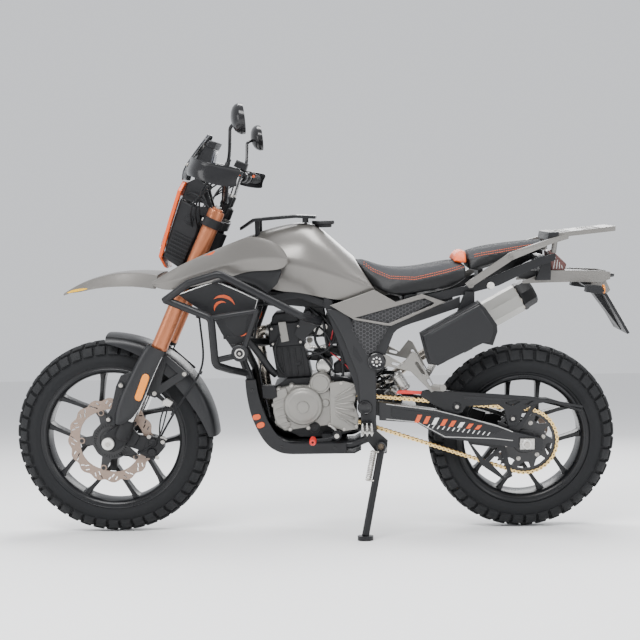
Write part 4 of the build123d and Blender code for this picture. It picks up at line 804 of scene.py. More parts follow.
def hexagon_ring(r, wall, deep):
    """One cell of the vent, open along Z."""
    form = bmesh.new()
    rings = [[form.verts.new((*polar(radius, 60 * k), z)) for k in range(6)]
        for radius, z in ((r, 0), (r - wall, 0), (r - wall, -deep), (r, -deep))]
    for near, far in zip(rings, rings[1:] + rings[:1]):
        for k in range(6):
            form.faces.new((near[k], near[(k + 1) % 6], far[(k + 1) % 6], far[k]))
    return form


for side, name in ((-1, "left"), (1, "right")):
    frame_plate = plate(PANEL, side * 152, 7, body_grey, 2.2, holes=[OPENING])
    backing = plate(VENT, side * 146, 3, seam_black, 0.5)
    cell, row_rise = 7.4, 1.732  # radius of a cell, and the rise of a row in radii
    spots = []
    for i in range(60):
        for j in range(40):
            spot = (120 + i * cell * 1.5, 640 + (j + 0.5 * (i % 2)) * cell * row_rise)
            if inside(spot, VENT):
                spots.append((Vector((spot[0], side * 149.5, spot[1])), (0, side, 0)))
    cells = repeated("vent_cells", hexagon_ring(cell, 1.1, 2.6), mesh_black, spots=spots)
    piece(f"side_panel_{name}", frame_plate, "body_gray", "side_panels", crease=40)
    assembly(f"side_vent_{name}", (backing, cells), "black_plastic", crease=30)


# ---- Seats ----
# Foam pads on a moulded base, under a sewn cover: grey grained cloth on top, black vinyl on the flanks, two
# rows of orange thread along the join, and a coloured bolster where the pillion seat steps up.
seat_cloth = finish("seat_cloth", (0.04, 0.041, 0.044), 0.82, mottle=(0.18, 4), grain=(0.8, 1.6),
    Specular_IOR_Level=0.2)
seat_vinyl = finish("seat_vinyl", (0.009, 0.0092, 0.0098), 0.42, mottle=(0.15, 60), grain=(0.4, 1.1),
    Specular_IOR_Level=0.25)
thread_orange = finish("thread_orange", (0.62, 0.09, 0.012), 0.6, mottle=(0.05, 60))
VOXEL, PRESSURE, SWELL_MM, SWELL_FRAMES = 0.005, 4, 5, 21


def stuffed(mesh, cap_mm=SWELL_MM):
    """Inflate a pad a little as foam fills its cover; no point moves further than the cap."""
    mesh.transform(PARKED)
    pad = shown("pad", mesh)

    def as_seen():
        return bpy.data.meshes.new_from_object(pad.evaluated_get(bpy.context.evaluated_depsgraph_get()))

    grid = pad.modifiers.new("grid", "REMESH")
    grid.mode, grid.voxel_size = "VOXEL", VOXEL
    bpy.context.view_layer.update()
    made = as_seen()
    pad.modifiers.clear()
    pad.data = made
    start = [v.co.copy() for v in made.vertices]
    cover = pad.modifiers.new("cover", "CLOTH")
    cover.settings.use_pressure, cover.settings.uniform_pressure_force = True, PRESSURE
    cover.settings.effector_weights.gravity = 0
    cover.settings.quality = 4
    for step in range(1, SWELL_FRAMES):
        bpy.context.scene.frame_set(step)
    made = as_seen()
    pad.modifiers.clear()
    pad.data = made
    for vertex, before in zip(made.vertices, start):
        shift = vertex.co - before
        if shift.length > cap_mm / 1000:
            vertex.co = before + shift.normalized() * (cap_mm / 1000)
    bpy.context.scene.frame_set(1)
    bpy.data.objects.remove(pad)
    made.transform(PARKED.inverted())
    return made


def pad_section(x, top, low, slope=0.0):
    """Closed section of a pad from (height, half width) rows, widest rows last."""
    half = [(x, 0, top[0][0])] + [(x + slope * (top[0][0] - z), y, z) for z, y in top + low]
    return across(half + [(half[-1][0], 0, low[-1][0])])


THREAD_ROWS, STITCH = (5, 12), 7.5  # heights above the join, and the spacing


def sewn(name, mesh, join, node, ends):
    """Give a stuffed pad its two covers and two rows of thread along the join line z(x)."""
    def join_at(x):
        for (x0, z0), (x1, z1) in zip(join, join[1:]):
            if x <= x1:
                return z0 + (z1 - z0) * (x - x0) / (x1 - x0)
        return join[-1][1]

    mesh.materials.clear()
    for cover in (seat_cloth, seat_vinyl):
        mesh.materials.append(cover)
    for face in mesh.polygons:
        x, _, z = face.center
        face.material_index = 0 if z > join_at(x) and face.normal.z > -0.2 else 1
    shell = bmesh.new()
    shell.from_mesh(mesh)
    tree = BVHTree.FromBMesh(shell)
    shell.free()
    spots = []
    for side in (-1, 1):
        for rise in THREAD_ROWS:
            last, x = None, ends[0]
            while x < ends[1]:
                hit = tree.ray_cast(Vector((x, side * 300, join_at(x) + rise)), Vector((0, -side, 0)))[0]
                if hit:
                    if last:
                        spots.append((hit + Vector((0, side * 0.5, 0)), hit - last))
                    last = hit
                x += STITCH
    form = bmesh.new()
    loft(form, [[(*polar(r, 60 * k), z) for k in range(6)]
        for r, z in ((0.5, -2.8), (1.0, -2), (1.0, 2), (0.5, 2.8))])
    stitches = repeated(name + "_stitches", form, thread_orange, spots=spots)
    pad = piece(name, mesh, "seat_cover", node, crease=70)
    finer = pad.modifiers.new("finer", "SUBSURF")
    finer.levels = finer.render_levels = 1
    piece(name + "_thread", stitches, "orange_plastic", crease=60)


rider_rows = [pad_section(*row) for row in (
    (135, [(957, 30), (952, 44), (936, 58)], [(900, 74), (862, 92), (858, 84)], REAR_SLOPE),
    (176, [(938, 44), (932, 62), (908, 84)], [(880, 106), (852, 122), (848, 110)], 0.5),
    (228, [(917, 62), (911, 84), (888, 112)], [(862, 124), (838, 130), (834, 118)], 0.15),
    (297, [(911, 76), (905, 102), (884, 126)], [(858, 132), (834, 132), (830, 120)]),
    (380, [(920, 92), (914, 122), (894, 142)], [(868, 143), (846, 141), (842, 128)]),
    (459, [(937, 96), (931, 124), (912, 143)], [(886, 143), (862, 139), (858, 126)]),
    (508, [(934, 84), (929, 106), (914, 126)], [(902, 130), (893, 130), (890, 120)]))]
rider_pad = stuffed(moulded(rider_rows, seat_vinyl, columns={3: 0.3, 9: 0.3}, loop=True, cap=True,
    stations={0: 0.9, 6: 0.8}))
sewn("rider_seat_pad", rider_pad, [(135, 950), (160, 934), (194, 908), (254, 884), (336, 881), (440, 904),
    (512, 922)], "rider_seat", (160, 498))
pillion_rows = [pad_section(*row) for row in (
    (516, [(966, 56), (962, 68), (948, 92)], [(930, 106), (912, 116), (908, 108)]),
    (560, [(981, 70), (976, 88), (958, 106)], [(938, 114), (922, 114), (918, 104)]),
    (683, [(997, 70), (991, 86), (976, 103)], [(966, 106), (960, 104), (957, 96)]),
    (778, [(1004, 44), (999, 56), (988, 70)], [(982, 76), (978, 76), (976, 68)]))]
pillion_pad = stuffed(moulded(pillion_rows, seat_vinyl, loop=True, cap=True, stations={0: 0.8, 3: 0.8}))
sewn("pillion_seat_pad", pillion_pad, [(512, 946), (560, 957), (683, 976), (782, 988)], "pillion_seat",
    (530, 770))
bolster_orange = finish("bolster_orange", (0.64, 0.09, 0.008), 0.45, mottle=(0.05, 30), grain=(0.3, 1.1))
step_rows = [pad_section(*row) for row in (
    (465, [(945, 78), (944.5, 84), (943, 90)], [(942.4, 94), (942, 96), (941.5, 88)]),
    (474, [(965, 68), (962, 80), (952, 92)], [(946, 98), (941, 101), (940, 92)]),
    (488, [(977, 60), (973, 74), (960, 90)], [(950, 99), (939, 105), (938, 94)]),
    (509, [(975, 60), (970, 76), (956, 92)], [(946, 102), (937, 107), (936, 96)]))]
step_pad = stuffed(moulded(step_rows, bolster_orange, loop=True, cap=True, stations={0: 0.8, 3: 0.8}),
    cap_mm=2.5)
bolster = piece("seat_bolster", step_pad, "orange_plastic", "seat_step", surface=bolster_orange, crease=70)


# ---- Engine ----
# Liquid-cooled single: black-painted castings, with die-cast covers in bare silver-grey on the left. Bosses
# and cap screws sit round the joints, and the ribs stiffen the thin walls.
cast_silver = finish("cast_silver", (0.22, 0.213, 0.197), 0.4, metal=0.5, mottle=(0.07, 25),
    grain=(0.35, 0.9))
engine_black = finish("engine_black", (0.008, 0.0082, 0.0092), 0.42, mottle=(0.25, 30), grain=(0.45, 1.0),
    Specular_IOR_Level=0.25)
machined = finish("machined", (0.45, 0.44, 0.42), 0.3, metal=0.85, mottle=(0.1, 12), grain=(0.1, 0.8))


def softened(name, node, surface, slot_name, width=1.6, angle=30, body="chassis"):
    """The node's own form, its facets merged and its edges rounded as on a casting or moulding."""
    form = bmesh.new()
    form.from_mesh(frame["nodes"][node].data)
    weld_m, flat = 0.00002, math.radians(1)
    bmesh.ops.remove_doubles(form, verts=form.verts, dist=weld_m)
    bmesh.ops.dissolve_limit(form, angle_limit=flat, verts=form.verts, edges=form.edges)
    bmesh.ops.transform(form, matrix=PARKED.inverted(), verts=form.verts)
    return piece(name, meshed(form, name), slot_name, node, surface=surface, body=body, crease=angle,
        bevel=width)


def pipe(points, r, surface, steps=16, smooth=True):
    """A tube or cable of radius r through points, along a smooth or a straight-run path."""
    path = bpy.data.curves.new("pipe", "CURVE")
    path.dimensions, path.bevel_depth, path.bevel_resolution, path.use_fill_caps = "3D", r, steps // 4, True
    path.resolution_u = 10
    line = path.splines.new("NURBS" if smooth else "POLY")
    line.points.add(len(points) - 1)
    for spot, point in zip(line.points, points):
        spot.co = (*point, 1)
    if smooth:
        line.order_u, line.use_endpoint_u = 4 if len(points) > 3 else len(points), True
    return realised(shown("pipe", path), surface)


AXIS_R = 0.5  # a closed end stops this short of its axis


def turned(profile, centre, surface, steps=64, way=-1, hollow=False):
    """A round part on an axis along Y: profile of (radius, distance outwards from the centre)."""
    ends = () if hollow else ((AXIS_R, profile[0][1]), (AXIS_R, profile[-1][1]))
    shape = [*ends[:1], *profile, *ends[1:]]
    return solid(lathe([(r, way * out) for r, out in shape], steps, centre), surface)


def screws(name, places, r=4.5, tall=3.5, way=(0, -1, 0), surface=None):
    """Cap screws standing on the given places."""
    return repeated(name, bolt_head(r, tall, r * 0.55), surface or bolt_steel,
        spots=[(Vector(place), way) for place in places])


def rib(start, end, y, feet, columns):
    """A cast rib between two (x, z) spots; feet: depth and shoulder; columns: place, half width, height."""
    start, end = (Vector((x, 0, z)) for x, z in (start, end))
    beside = (end - start).cross(Vector((0, 1, 0))).normalized()
    foot, shoulder = feet
    return skinned([[start.lerp(end, place) + beside * u * half + Vector((0, y - v, 0)) for u, v in
        ((-1, foot), (-0.7, tall * shoulder), (0, tall), (0.7, tall * shoulder), (1, foot))]
        for place, half, tall in columns], cast_silver)


softened("crankcase_casting", "crankcase", engine_black, "black_alloy", 3)
softened("right_covers", "right_engine_cover", engine_black, "cast_alloy", 2.5)
softened("air_box_moulding", "air_box", trim_black, "black_plastic", 3)

FACE = -78.3
COVER = [(-110, 372), (-140, 392), (-147, 432), (-146, 490), (-126, 520), (-84, 530), (-26, 528), (0, 524),
    (44, 528), (50, 470), (50, 392), (8, 386), (-30, 384), (-82, 376)]
covers = [
    plate(COVER, FACE - 11, 22, cast_silver, 3),
    turned([(17, 58), (19.5, 57), (20.5, 54), (21, 51), (46, 49), (52, 46), (56, 43), (58, 43), (64, 39),
        (66.5, 34), (67, 10), (67, 0)], (-45, FACE, 460), cast_silver, 96),
    turned([(26, 32), (28, 30), (33, 30), (36, 27), (37, 22), (37, 0)], (14, FACE, 536), cast_silver),
    turned([(12, 26), (14, 24), (15, 20), (15, 0)], (30, FACE, 468), cast_silver, 40)]
lobe = [(-112, 378), (-138, 398), (-148, 436), (-148, 486), (-132, 514), (-104, 524), (-96, 500),
    (-108, 462), (-104, 420), (-90, 392)]
covers.append(plate(lobe, FACE - 15, 30, cast_silver, 4))
for k in range(4):
    covers.append(rib((-147 + 7 * k, 470 - 25 * k), (-104 + 4 * k, 486 - 28 * k), FACE - 29, (0, 0.8),
        ((0, 3.0, 1.5), (0.15, 4.2, 4.5), (0.85, 4.8, 5), (1, 3.4, 2))))
# sprocket cover: a thin dished shell with ribs that fan out to its rear edge
SHELL = [(46, 540), (92, 545), (138, 533), (137, 500), (128, 462), (143, 424), (139, 378), (98, 372),
    (46, 386)]
rim_y, deep = -111, 9
covers += [
    plate(SHELL, rim_y + deep / 2 - 4, deep, cast_silver, 2.5),
    plate([(46, 540), (60, 541), (60, 386), (46, 386)], (FACE + rim_y) / 2, abs(rim_y - FACE), cast_silver,
        1)]
for k in range(6):
    covers.append(rib((62, 432 + 11 * k), (134 if k in (0, 4, 5) else 128, 386 + 28.5 * k), rim_y - 4.2,
        (-1, 0.75), ((0, 2.0, 1.0), (0.12, 2.8, 5), (0.6, 4.4, 6.5), (0.92, 5.6, 5.5), (1, 5.0, 2))))
bosses = [(-136, 404), (-146, 462), (-128, 516), (-84, 528), (-20, 526), (44, 524), (46, 394), (-30, 382),
    (-92, 378), (0, 500), (52, 436)]
for x, z in bosses:
    covers.append(turned([(7, 24), (8.2, 22.5), (8.6, 0)], (x, FACE, z), cast_silver, 20))
covers += [
    screws("cover_screws", [(x, FACE - 24, z) for x, z in bosses], 4.2, 3),
    screws("shell_screws", [(x, rim_y - 5, z) for x, z in ((84, 538), (131, 527), (134, 388), (92, 378))],
        4.6, 4),
    turned([(12, 12), (14, 10), (19, 9), (20, 6), (20, 0)], (-8, FACE - 14, 383), engine_black, 40)]
assembly("left_cover_set", covers, "cast_alloy", "left_engine_cover", crease=38)

# cylinder, head and cam cover, with ribs, bolts, a bare cast patch and the two ports
head_parts = []
for outline, half, soft in (
        ([(-134, 549), (-100, 549), (-18, 553), (-40, 664), (-150, 656)], 57, 3),
        ([(-158, 656), (-98, 660), (-38, 664), (-42, 700), (-50, 742), (-106, 738), (-162, 730),
            (-160, 690)], 65, 4),
        ([(-154, 730), (-56, 742), (-62, 768), (-74, 777), (-138, 770), (-148, 760)], 53, 5)):
    head_parts.append(plate(outline, 0, 2 * half, engine_black, soft))
for side in (-1, 1):
    # vertical ribs and bosses on the flank
    for x, z, r in ((-146, 668, 9), (-52, 674, 9), (-150, 720, 8), (-58, 728, 8), (-60, 598, 8),
            (-122, 590, 8)):
        reach = 66 if z > 660 else 58
        head_parts.append(turned([(r - 2, 3.5), (r, 2), (r, -8)], (x, side * reach, z), engine_black, 20,
            side))
    for k in range(5):
        x = -132 + 22 * k
        head_parts.append(plate([(x, 560), (x + 5, 560), (x - 6, 650), (x - 11, 650)], side * 58.5, 5,
            engine_black, 1))
    head_parts.append(screws("head_screws", [(x, side * 69.5, z) for x, z in ((-146, 668), (-52, 674),
        (-150, 720), (-58, 728))], 3.4, 3, (0, side, 0)))
head_parts += [
    plate([(-127, 742), (-101, 744), (-91, 678), (-117, 673)], -66.5, 4, cast_silver, 1.2),
    pipe([(-50, 0, 704), (-10, 0, 708), (30, 0, 716)], 25, trim_black, 32, False)]
for x in (-30, 18):
    head_parts.append(pipe([(x, 0, 707), (x + 8, 0, 708)], 27.5, machined, 32, False))
head_parts.append(pipe([(-150, 24, 700), (-168, 24, 702), (-176, 24, 703)], 25, machined, 32, False))
assembly("cylinder_head_castings", head_parts, "black_alloy", "cylinder_head", crease=38)

# starter motor, breather, throttle body with its cable wheel, regulator, coil, and the cables and hoses
# clipped round the engine
wire_red = finish("wire_red", (0.4, 0.02, 0.03), 0.5, mottle=(0.05, 60))
fittings = [
    turned([(20, 6), (25, 3), (28, -2), (28, -40)], (27, -72, 590), machined, 48),
    pipe([(27, -30, 618), (22, -66, 640), (-2, -72, 664), (-8, -60, 700), (20, -50, 740)], 4.5, trim_black),
    pipe([(-100, -56, 772), (-96, -70, 800), (-150, -70, 812), (-230, -66, 800)], 5, trim_black),
    pipe([(-160, 20, 668), (-196, 10, 660), (-214, -60, 672), (-262, -120, 702)], 15, trim_black),
    pipe([(-140, -50, 560), (-170, -72, 588), (-186, -80, 640), (-240, -100, 700)], 13, trim_black),
    pipe([(-36, -66, 640), (10, -78, 648), (40, -84, 610), (60, -80, 570)], 4, trim_black),
    pipe([(-30, -66, 625), (24, -84, 634), (62, -90, 660), (74, -84, 720), (60, -80, 780)], 3.5, trim_black),
    pipe([(74, -66, 664), (86, -84, 640), (96, -84, 600), (90, -84, 556)], 5, trim_black),
    pipe([(-170, -60, 640), (-196, -84, 600), (-190, -92, 540), (-168, -94, 470), (-160, -96, 420)], 3.2,
        trim_black),
    pipe([(-12, 0, 710), (34, 0, 714)], 31, engine_black, 32, False),
    turned([(18, 34), (20, 30), (20, 26), (12, 24), (12, 0)], (10, 0, 712), machined, 40),
    plate([(-24, 690), (40, 694), (44, 734), (-18, 736)], 0, 62, engine_black, 5),
    plate([(-186, 533), (-138, 531), (-132, 492), (-150, 484), (-182, 488)], -100, 24, engine_black, 3),
    plate([(-30, 604), (-6, 640), (30, 652), (96, 648), (110, 610), (60, 618), (10, 600)], 10, 70,
        engine_black, 6),
    plate([(60, 560), (126, 566), (132, 600), (84, 612), (58, 590)], -30, 50, engine_black, 6),
    plate([(84, 600), (120, 606), (116, 650), (86, 646)], -84, 16, trim_black, 4),
    pipe([(-40, -40, 652), (0, -44, 652), (44, -50, 650)], 5.5, machined),
    pipe([(50, -64, 636), (74, -78, 618), (104, -84, 600), (122, -90, 566)], 2.2, wire_red),
    pipe([(40, -66, 646), (60, -80, 700), (66, -84, 740), (58, -80, 784)], 2.2, wire_red),
    pipe([(20, -60, 650), (60, -76, 640), (100, -84, 622), (128, -90, 590)], 2.6, trim_black),
    pipe([(-16, -60, 742), (16, -84, 730), (48, -88, 700), (56, -84, 656)], 3.4, trim_black),
    pipe([(-110, -58, 560), (-140, -80, 600), (-150, -84, 660), (-120, -72, 700)], 3, trim_black)]
assembly("engine_fittings", fittings, "black_plastic", crease=45)


# ---- Fork ----
# Upside-down fork: anodised outer tubes in two bolted clamps, hard-chromed stanchions, and cast feet that
# grip the axle. Moulded guards with amber reflectors shield the stanchions.
copper_tube = finish("copper_tube", (0.42, 0.145, 0.066), 0.32, metal=0.6, mottle=(0.05, 60))
chrome_hard = finish("chrome_hard", (0.6, 0.6, 0.6), 0.14, metal=1.0, mottle=(0.04, 60), polish=0.04)
charcoal = finish("charcoal", (0.0125, 0.0129, 0.0142), 0.36, mottle=(0.08, 80), grain=(0.12, 0.8),
    Specular_IOR_Level=0.3)
reflector_amber = finish("reflector_amber", (0.74, 0.22, 0.002), 0.22, mottle=(0.05, 8))
SPREAD, TUBE_X, STANCHION_R = 104, -22, 21.5


def column(profile, x, y, surface, steps=48, hollow=False):
    """A round part on an upright axis at (x, y): profile of (radius, height)."""
    made = turned(profile, (0, 0, 0), surface, steps, 1, hollow)
    made.transform(Matrix.Translation((x, y, 0)) @ STAND_UP)
    return made


def between(profile, start, end, surface, steps=32):
    """A round part from start towards end: profile of (radius, distance along)."""
    made = turned(profile, (0, 0, 0), surface, steps, 1)
    way = (Vector(end) - Vector(start)).normalized()
    turn = Vector((0, 1, 0)).rotation_difference(way).to_matrix().to_4x4()
    made.transform(Matrix.Translation(start) @ turn)
    return made


tubes, legs, guards = [], [], []
for side in (-1, 1):
    y = side * SPREAD
    tubes += [
        column([(24, 366), (26, 368), (27.6, 372), (27.6, 384), (27, 386), (27, 600), (27, 868), (25, 872),
            (18, 872), (18, 878), (16, 880)], TUBE_X, y, copper_tube, 64),
        column([(11, 872), (11, 886), (9, 888)], TUBE_X, y, machined, 6),
        column([(22, 358), (26.5, 358), (27.2, 361), (27.2, 369), (22, 369)], TUBE_X, y, rubber, 48,
            hollow=True)]
    legs += [
        column([(STANCHION_R, 80), (STANCHION_R, 366)], TUBE_X, y, chrome_hard),
        column([(23, 30), (27, 36), (27, 92), (24, 100)], TUBE_X, side * 109, engine_black),
        plate([(-74, -12), (-62, -25), (-36, -27), (-12, -4), (6, 34), (6, 74), (-48, 76), (-66, 44),
            (-78, 14)], side * 102, 36, engine_black, 4),
        turned([(20, 14), (24, 11), (26, 4), (26, -12)], (-52.7, side * 110, 0), engine_black, 40, side),
        plate([(0, 10), (30, 22), (34, 60), (4, 74)], side * 96, 14, engine_black, 3),
        screws("foot_bolts", [(-70, side * 120, 2), (-34, side * 120, 60)], 5, 4, (0, side, 0))]
    # guard: a half round shell from its front lip round the outside to its rear edge
    rows = []
    for z, front, back in ((372, -58, 4), (364, -63, 2), (310, -70, -3), (240, -74, -2), (180, -77, 0),
            (132, -74, -6), (98, -68, -22), (80, -62, -38)):
        middle = (front + back) / 2
        rows.append([(front + 5, side * 112, z), (front, side * 120, z), (front + 1, side * 131, z),
            (front + 10, side * 140, z), (middle, side * 144, z), (back - 10, side * 141, z),
            (back, side * 134, z)])
    guards += [
        moulded(rows, charcoal, stations={0: 0.6, 7: 0.6}, thick=3),
        plate(slot(-19, 232, 98, 25, 93), side * 145.5, 6, reflector_amber, 2.2),
        plate([(-58, 264), (-78, 260), (-102, 236), (-103, 196), (-90, 120), (-96, 84), (-84, 62),
            (-56, 66)], side * 124, 7, trim_black, 2)]
    for x, z in ((-89, 206), (-83, 80)):
        guards += [
            turned([(10, 7), (12, 5), (12.5, 0)], (x, side * 126, z), trim_black, 24, side),
            screws("guard_bolts", [(x, side * 133, z)], 5.5, 3, (0, side, 0))]
    edge = [(b + 1.5, side * 133, z) for z, b in ((352, 0), (300, -3), (240, -2), (180, 0), (136, -5),
        (108, -16))]
    guards.append(pipe(edge, 1.3, chrome_hard, 8))
assembly("fork_tube_set", tubes, "copper_anodised", "fork_tubes", **STEERED)
assembly("fork_leg_set", legs, "chrome", "fork_legs", **STEERED)
assembly("fork_guard_set", guards, "black_plastic", "fork_guards", crease=50, **STEERED)
washer_bright = finish("washer_bright", (0.62, 0.61, 0.58), 0.35, metal=0.5)
axle_set = [turned([(10, 134), (10, 76), (16, 76), (16, -44), (10, -44), (10, -134)], (-52.7, 0, 0),
    machined)]
for side in (-1, 1):
    axle_set += [
        turned([(8, 11), (10, 9), (20, 8), (21, 6), (21, 0)], (-52.7, side * 124.5, 0), washer_bright, 40,
            side),
        turned([(7.5, 4), (8, 3), (8, 0)], (-52.7, side * 134, 0), bolt_steel, 6, side)]
assembly("front_axle_set", axle_set, "steel", "front_axle", **STEERED)
softened("fork_clamps", "triple_clamps", engine_black, "black_alloy", 2.5, body="steering")
pinch = [(-50, side * (SPREAD + 20 * k), z) for side in (-1, 1) for z in (608, 624, 829) for k in (-1, 1)]
clamp_set = [
    screws("pinch_bolts", pinch, 5, 5, (-1, 0, 0)),
    column([(19, 843), (20, 846), (20, 852), (14, 854), (14, 858)], 0, 0, machined, 6)]
assembly("clamp_bolts", clamp_set, "steel", **STEERED)

# fender: a close shell whose skirts deepen behind the fork
rows = []
for degrees, skirt in ((1, 336), (4, 331), (14, 316), (28, 301), (44, 299), (60, 306), (74, 318), (86, 330),
        (91, 336)):
    rows.append([(*polar(r, degrees, FRONT_AXLE.x, FRONT_AXLE.z), y) for r, y in ((skirt, -73), (342, -71),
        (355, -60), (361, -42), (364, -16), (364, 16), (361, 42), (355, 60), (342, 71), (skirt, 73))])
rows = [[(x, y, z) for x, z, y in row] for row in rows]
piece("fender_shell", moulded(rows, charcoal, columns={2: 0.3, 7: 0.3}, stations={0: 0.7, 8: 0.7}, thick=4),
    "black_plastic", "front_fender", body="steering", crease=60)
softened("fender_stays", "fender_brackets", charcoal, "frame_black", 2, body="steering")
stay_set = []
for side in (-1, 1):
    stay_set.append(screws("stay_bolts", [(20, side * 82.5, 214), (-16, side * 82.5, 336),
        (88, side * 82.5, 318)], 6, 4, (0, side, 0)))
assembly("stay_bolts", stay_set, "steel", **STEERED)

# caliper, hose, sensor cable and the hose block on the stay
softened("front_caliper_body", "front_caliper", engine_black, "black_alloy", 1.2, body="steering")
brake = [turned([(13, 6), (15.5, 3), (16, 0)], (x, -95, z), engine_black, 32) for x, z in ((82, 58),
    (92, 24))]
brake += [
    screws("caliper_bolts", [(18, -96.5, 50), (18, -96.5, 24), (112, -95.5, 72), (116, -95.5, 14),
        (62, -95.5, 70)], 5.5, 4),
    plate([(60, 190), (88, 196), (92, 216), (66, 220), (56, 206)], -88, 18, machined, 3),
    plate([(30, 206), (62, 198), (64, 210), (30, 222)], -82, 5, engine_black, 1.5),
    pipe([(98, -88, 81), (106, -104, 181), (126, -112, 271), (140, -112, 352), (126, -110, 421),
        (56, -110, 526), (26, -110, 598)], 3.6, rubber, 12),
    pipe([(98, -88, 78), (84, -98, 110), (66, -94, 150), (74, -92, 196)], 2.6, rubber, 12),
    pipe([(-8, -86, -32), (24, -102, -22), (60, -106, 6), (92, -104, 60), (96, -98, 110), (86, -94, 160),
        (80, -92, 200)], 2.4, rubber, 12),
    pipe([(98, -94, 84), (112, -96, 92), (120, -94, 84)], 4, machined, 12)]
for x, y, z in ((106, -104, 181), (138, -112, 352), (56, -110, 524)):
    brake.append(between([(6, 0), (6, 12)], (x, y, z - 6), (x, y, z + 6), trim_black, 16))
assembly("front_brake_line", brake, "hose_rubber", "front_brake_hose", **STEERED)


# ---- Handlebar ----
# Tapered black bar on risers, with ribbed rubber grips, switch blocks, folding levers and closed hand
# guards. The mirrors stand on the lever perches.
BAR_KNEE, BAR_END, BAR_CLAMP = Vector((-30, 190, 996)), Vector((10, 420, 1006)), Vector((-12, 95, 910))
FLIP = Vector((1, -1, 1))
gloss_black = finish("gloss_black", (0.01, 0.01, 0.011), 0.2, mottle=(0.1, 60), grain=(0.06, 0.8),
    Specular_IOR_Level=0.35)
mirror_glass = finish("mirror_glass", (0.72, 0.74, 0.76), 0.05, metal=1.0, mottle=(0.01, 60), polish=0.02)
run = [BAR_END * FLIP, BAR_KNEE.lerp(BAR_END, 0.12) * FLIP, BAR_KNEE.lerp(BAR_CLAMP, 0.16) * FLIP,
    BAR_CLAMP.lerp(BAR_KNEE, 0.14) * FLIP, Vector((-12, -78, 910))]
run += [point * FLIP for point in reversed(run)]
bar = [pipe(run, 11, gloss_black, 24, False)]


def along_bar(y, side):
    """The spot on a grip's axis at y from the middle."""
    spot = BAR_KNEE.lerp(BAR_END, (y - BAR_KNEE.y) / (BAR_END.y - BAR_KNEE.y))
    return Vector((spot.x, spot.y * side, spot.z))


controls, shields = [], []
for side in (-1, 1):
    flip = Vector((1, side, 1))
    ribs = [(0.5, 0), (20, 0), (20, 5), (16, 7)]
    for k in range(13):
        ribs += [(17, 10 + 8 * k), (17, 14 + 8 * k), (15.6, 15.5 + 8 * k)]
    ribs += [(16, 113), (17, 116), (17, 119), (12, 121), (0.5, 121)]
    bar += [
        between(ribs, along_bar(299, side), along_bar(420, side), rubber, 28),
        column([(15, 844), (15, 892), (18, 896), (18, 928), (15, 930)], -12, side * 45, engine_black, 24),
        screws("riser_bolts", [(-22, side * 45, 930), (-2, side * 45, 930)], 4.5, 4, (0, 0, 1))]
    # switch block, perch and clamp
    controls += [
        between([(19, 0), (21, 3), (21, 31), (19, 34)], along_bar(251, side), along_bar(285, side),
            engine_black),
        plate([(-61, 984), (-40, 978), (-2, 980), (2, 1010), (-16, 1020), (-58, 1018)], side * 268, 30,
            engine_black, 3),
        between([(17, 0), (19, 2), (19, 26), (17, 28)], along_bar(218, side), along_bar(246, side),
            trim_black),
        plate([(-6, 1012), (20, 1014), (22, 1026), (-4, 1028)], side * 236, 22, trim_black, 3),
        plate(circle(14, 1016, 5, 12), side * 222, 6, signal_orange, 1.5),
        skinned([[Vector((x + dx, y, z + dz)) * flip for dx, dz in ((-w, 0), (-w * 0.6, h), (w * 0.6, h),
            (w, 0), (w * 0.6, -h), (-w * 0.6, -h))] for x, y, z, w, h in ((-50, 262, 996, 12, 6),
            (-56, 282, 996, 9, 5), (-58, 310, 996, 6, 4.5), (-52, 345, 997, 5.5, 4.5),
            (-48, 375, 998, 5.5, 4.5), (-54, 396, 1000, 6, 5), (-56, 403, 1000, 4, 3.5))], machined
            if side > 0 else engine_black)]
    if side > 0:
        controls.append(plate([(-66, 1020), (-20, 1020), (-22, 1046), (-64, 1046)], 236, 44, trim_black, 4))
    for k, (drop, lean) in enumerate(((60, 26), (64, 10), (70, -8))):
        controls.append(pipe([Vector(p) * flip for p in ((-44 + 12 * k, 258, 986),
            (-86 + 14 * k, 220, 940 - 6 * k), (-110 + lean, 150, 900 - drop / 2),
            (-84 + lean, 66, 860 - drop), (-30 + lean, 30, 800 - drop))], 3.2 - 0.4 * k, rubber, 12))
    # guard: a bowed shell from the perch to the bar end, with a raised lip
    rows = []
    for x, y, z0, z1 in ((-138, 205, 950, 984), (-136, 240, 948, 992), (-130, 300, 950, 1004),
            (-118, 352, 953, 1008), (-100, 395, 956, 1008), (-70, 424, 958, 1012), (-26, 438, 962, 1020),
            (12, 442, 972, 1030), (40, 440, 984, 1036)):
        tall = z1 - z0
        rows.append([Vector((x + out, y + abs(out) * 0.3, z0 + share * tall)) * flip for share, out in
            ((0, 3), (0.12, -3), (0.5, -7), (0.86, -4), (0.94, -8), (1, -7))])
    shields += [
        moulded(rows, gloss_black, columns={4: 0.6}, stations={0: 0.6, 8: 0.6}, thick=3.5),
        between([(8, 0), (8, 70), (6, 74)], Vector((-61, side * 256, 985)), Vector((-135, side * 256, 985)),
            trim_black, 20),
        between([(15, 0), (15, 12), (11, 16)], along_bar(424, side), along_bar(440, side), engine_black, 24),
        screws("shield_bolts", [(-139, side * 256, 985), (-139, side * 292, 978)], 5, 3, (-1, 0, 0))]
assembly("handlebar_tube", bar, "frame_black", "handlebar", crease=40, **STEERED)
assembly("controls_set", controls, "black_alloy", "hand_controls", **STEERED)
assembly("hand_shields", shields, "black_plastic", "hand_guards", crease=50, **STEERED)

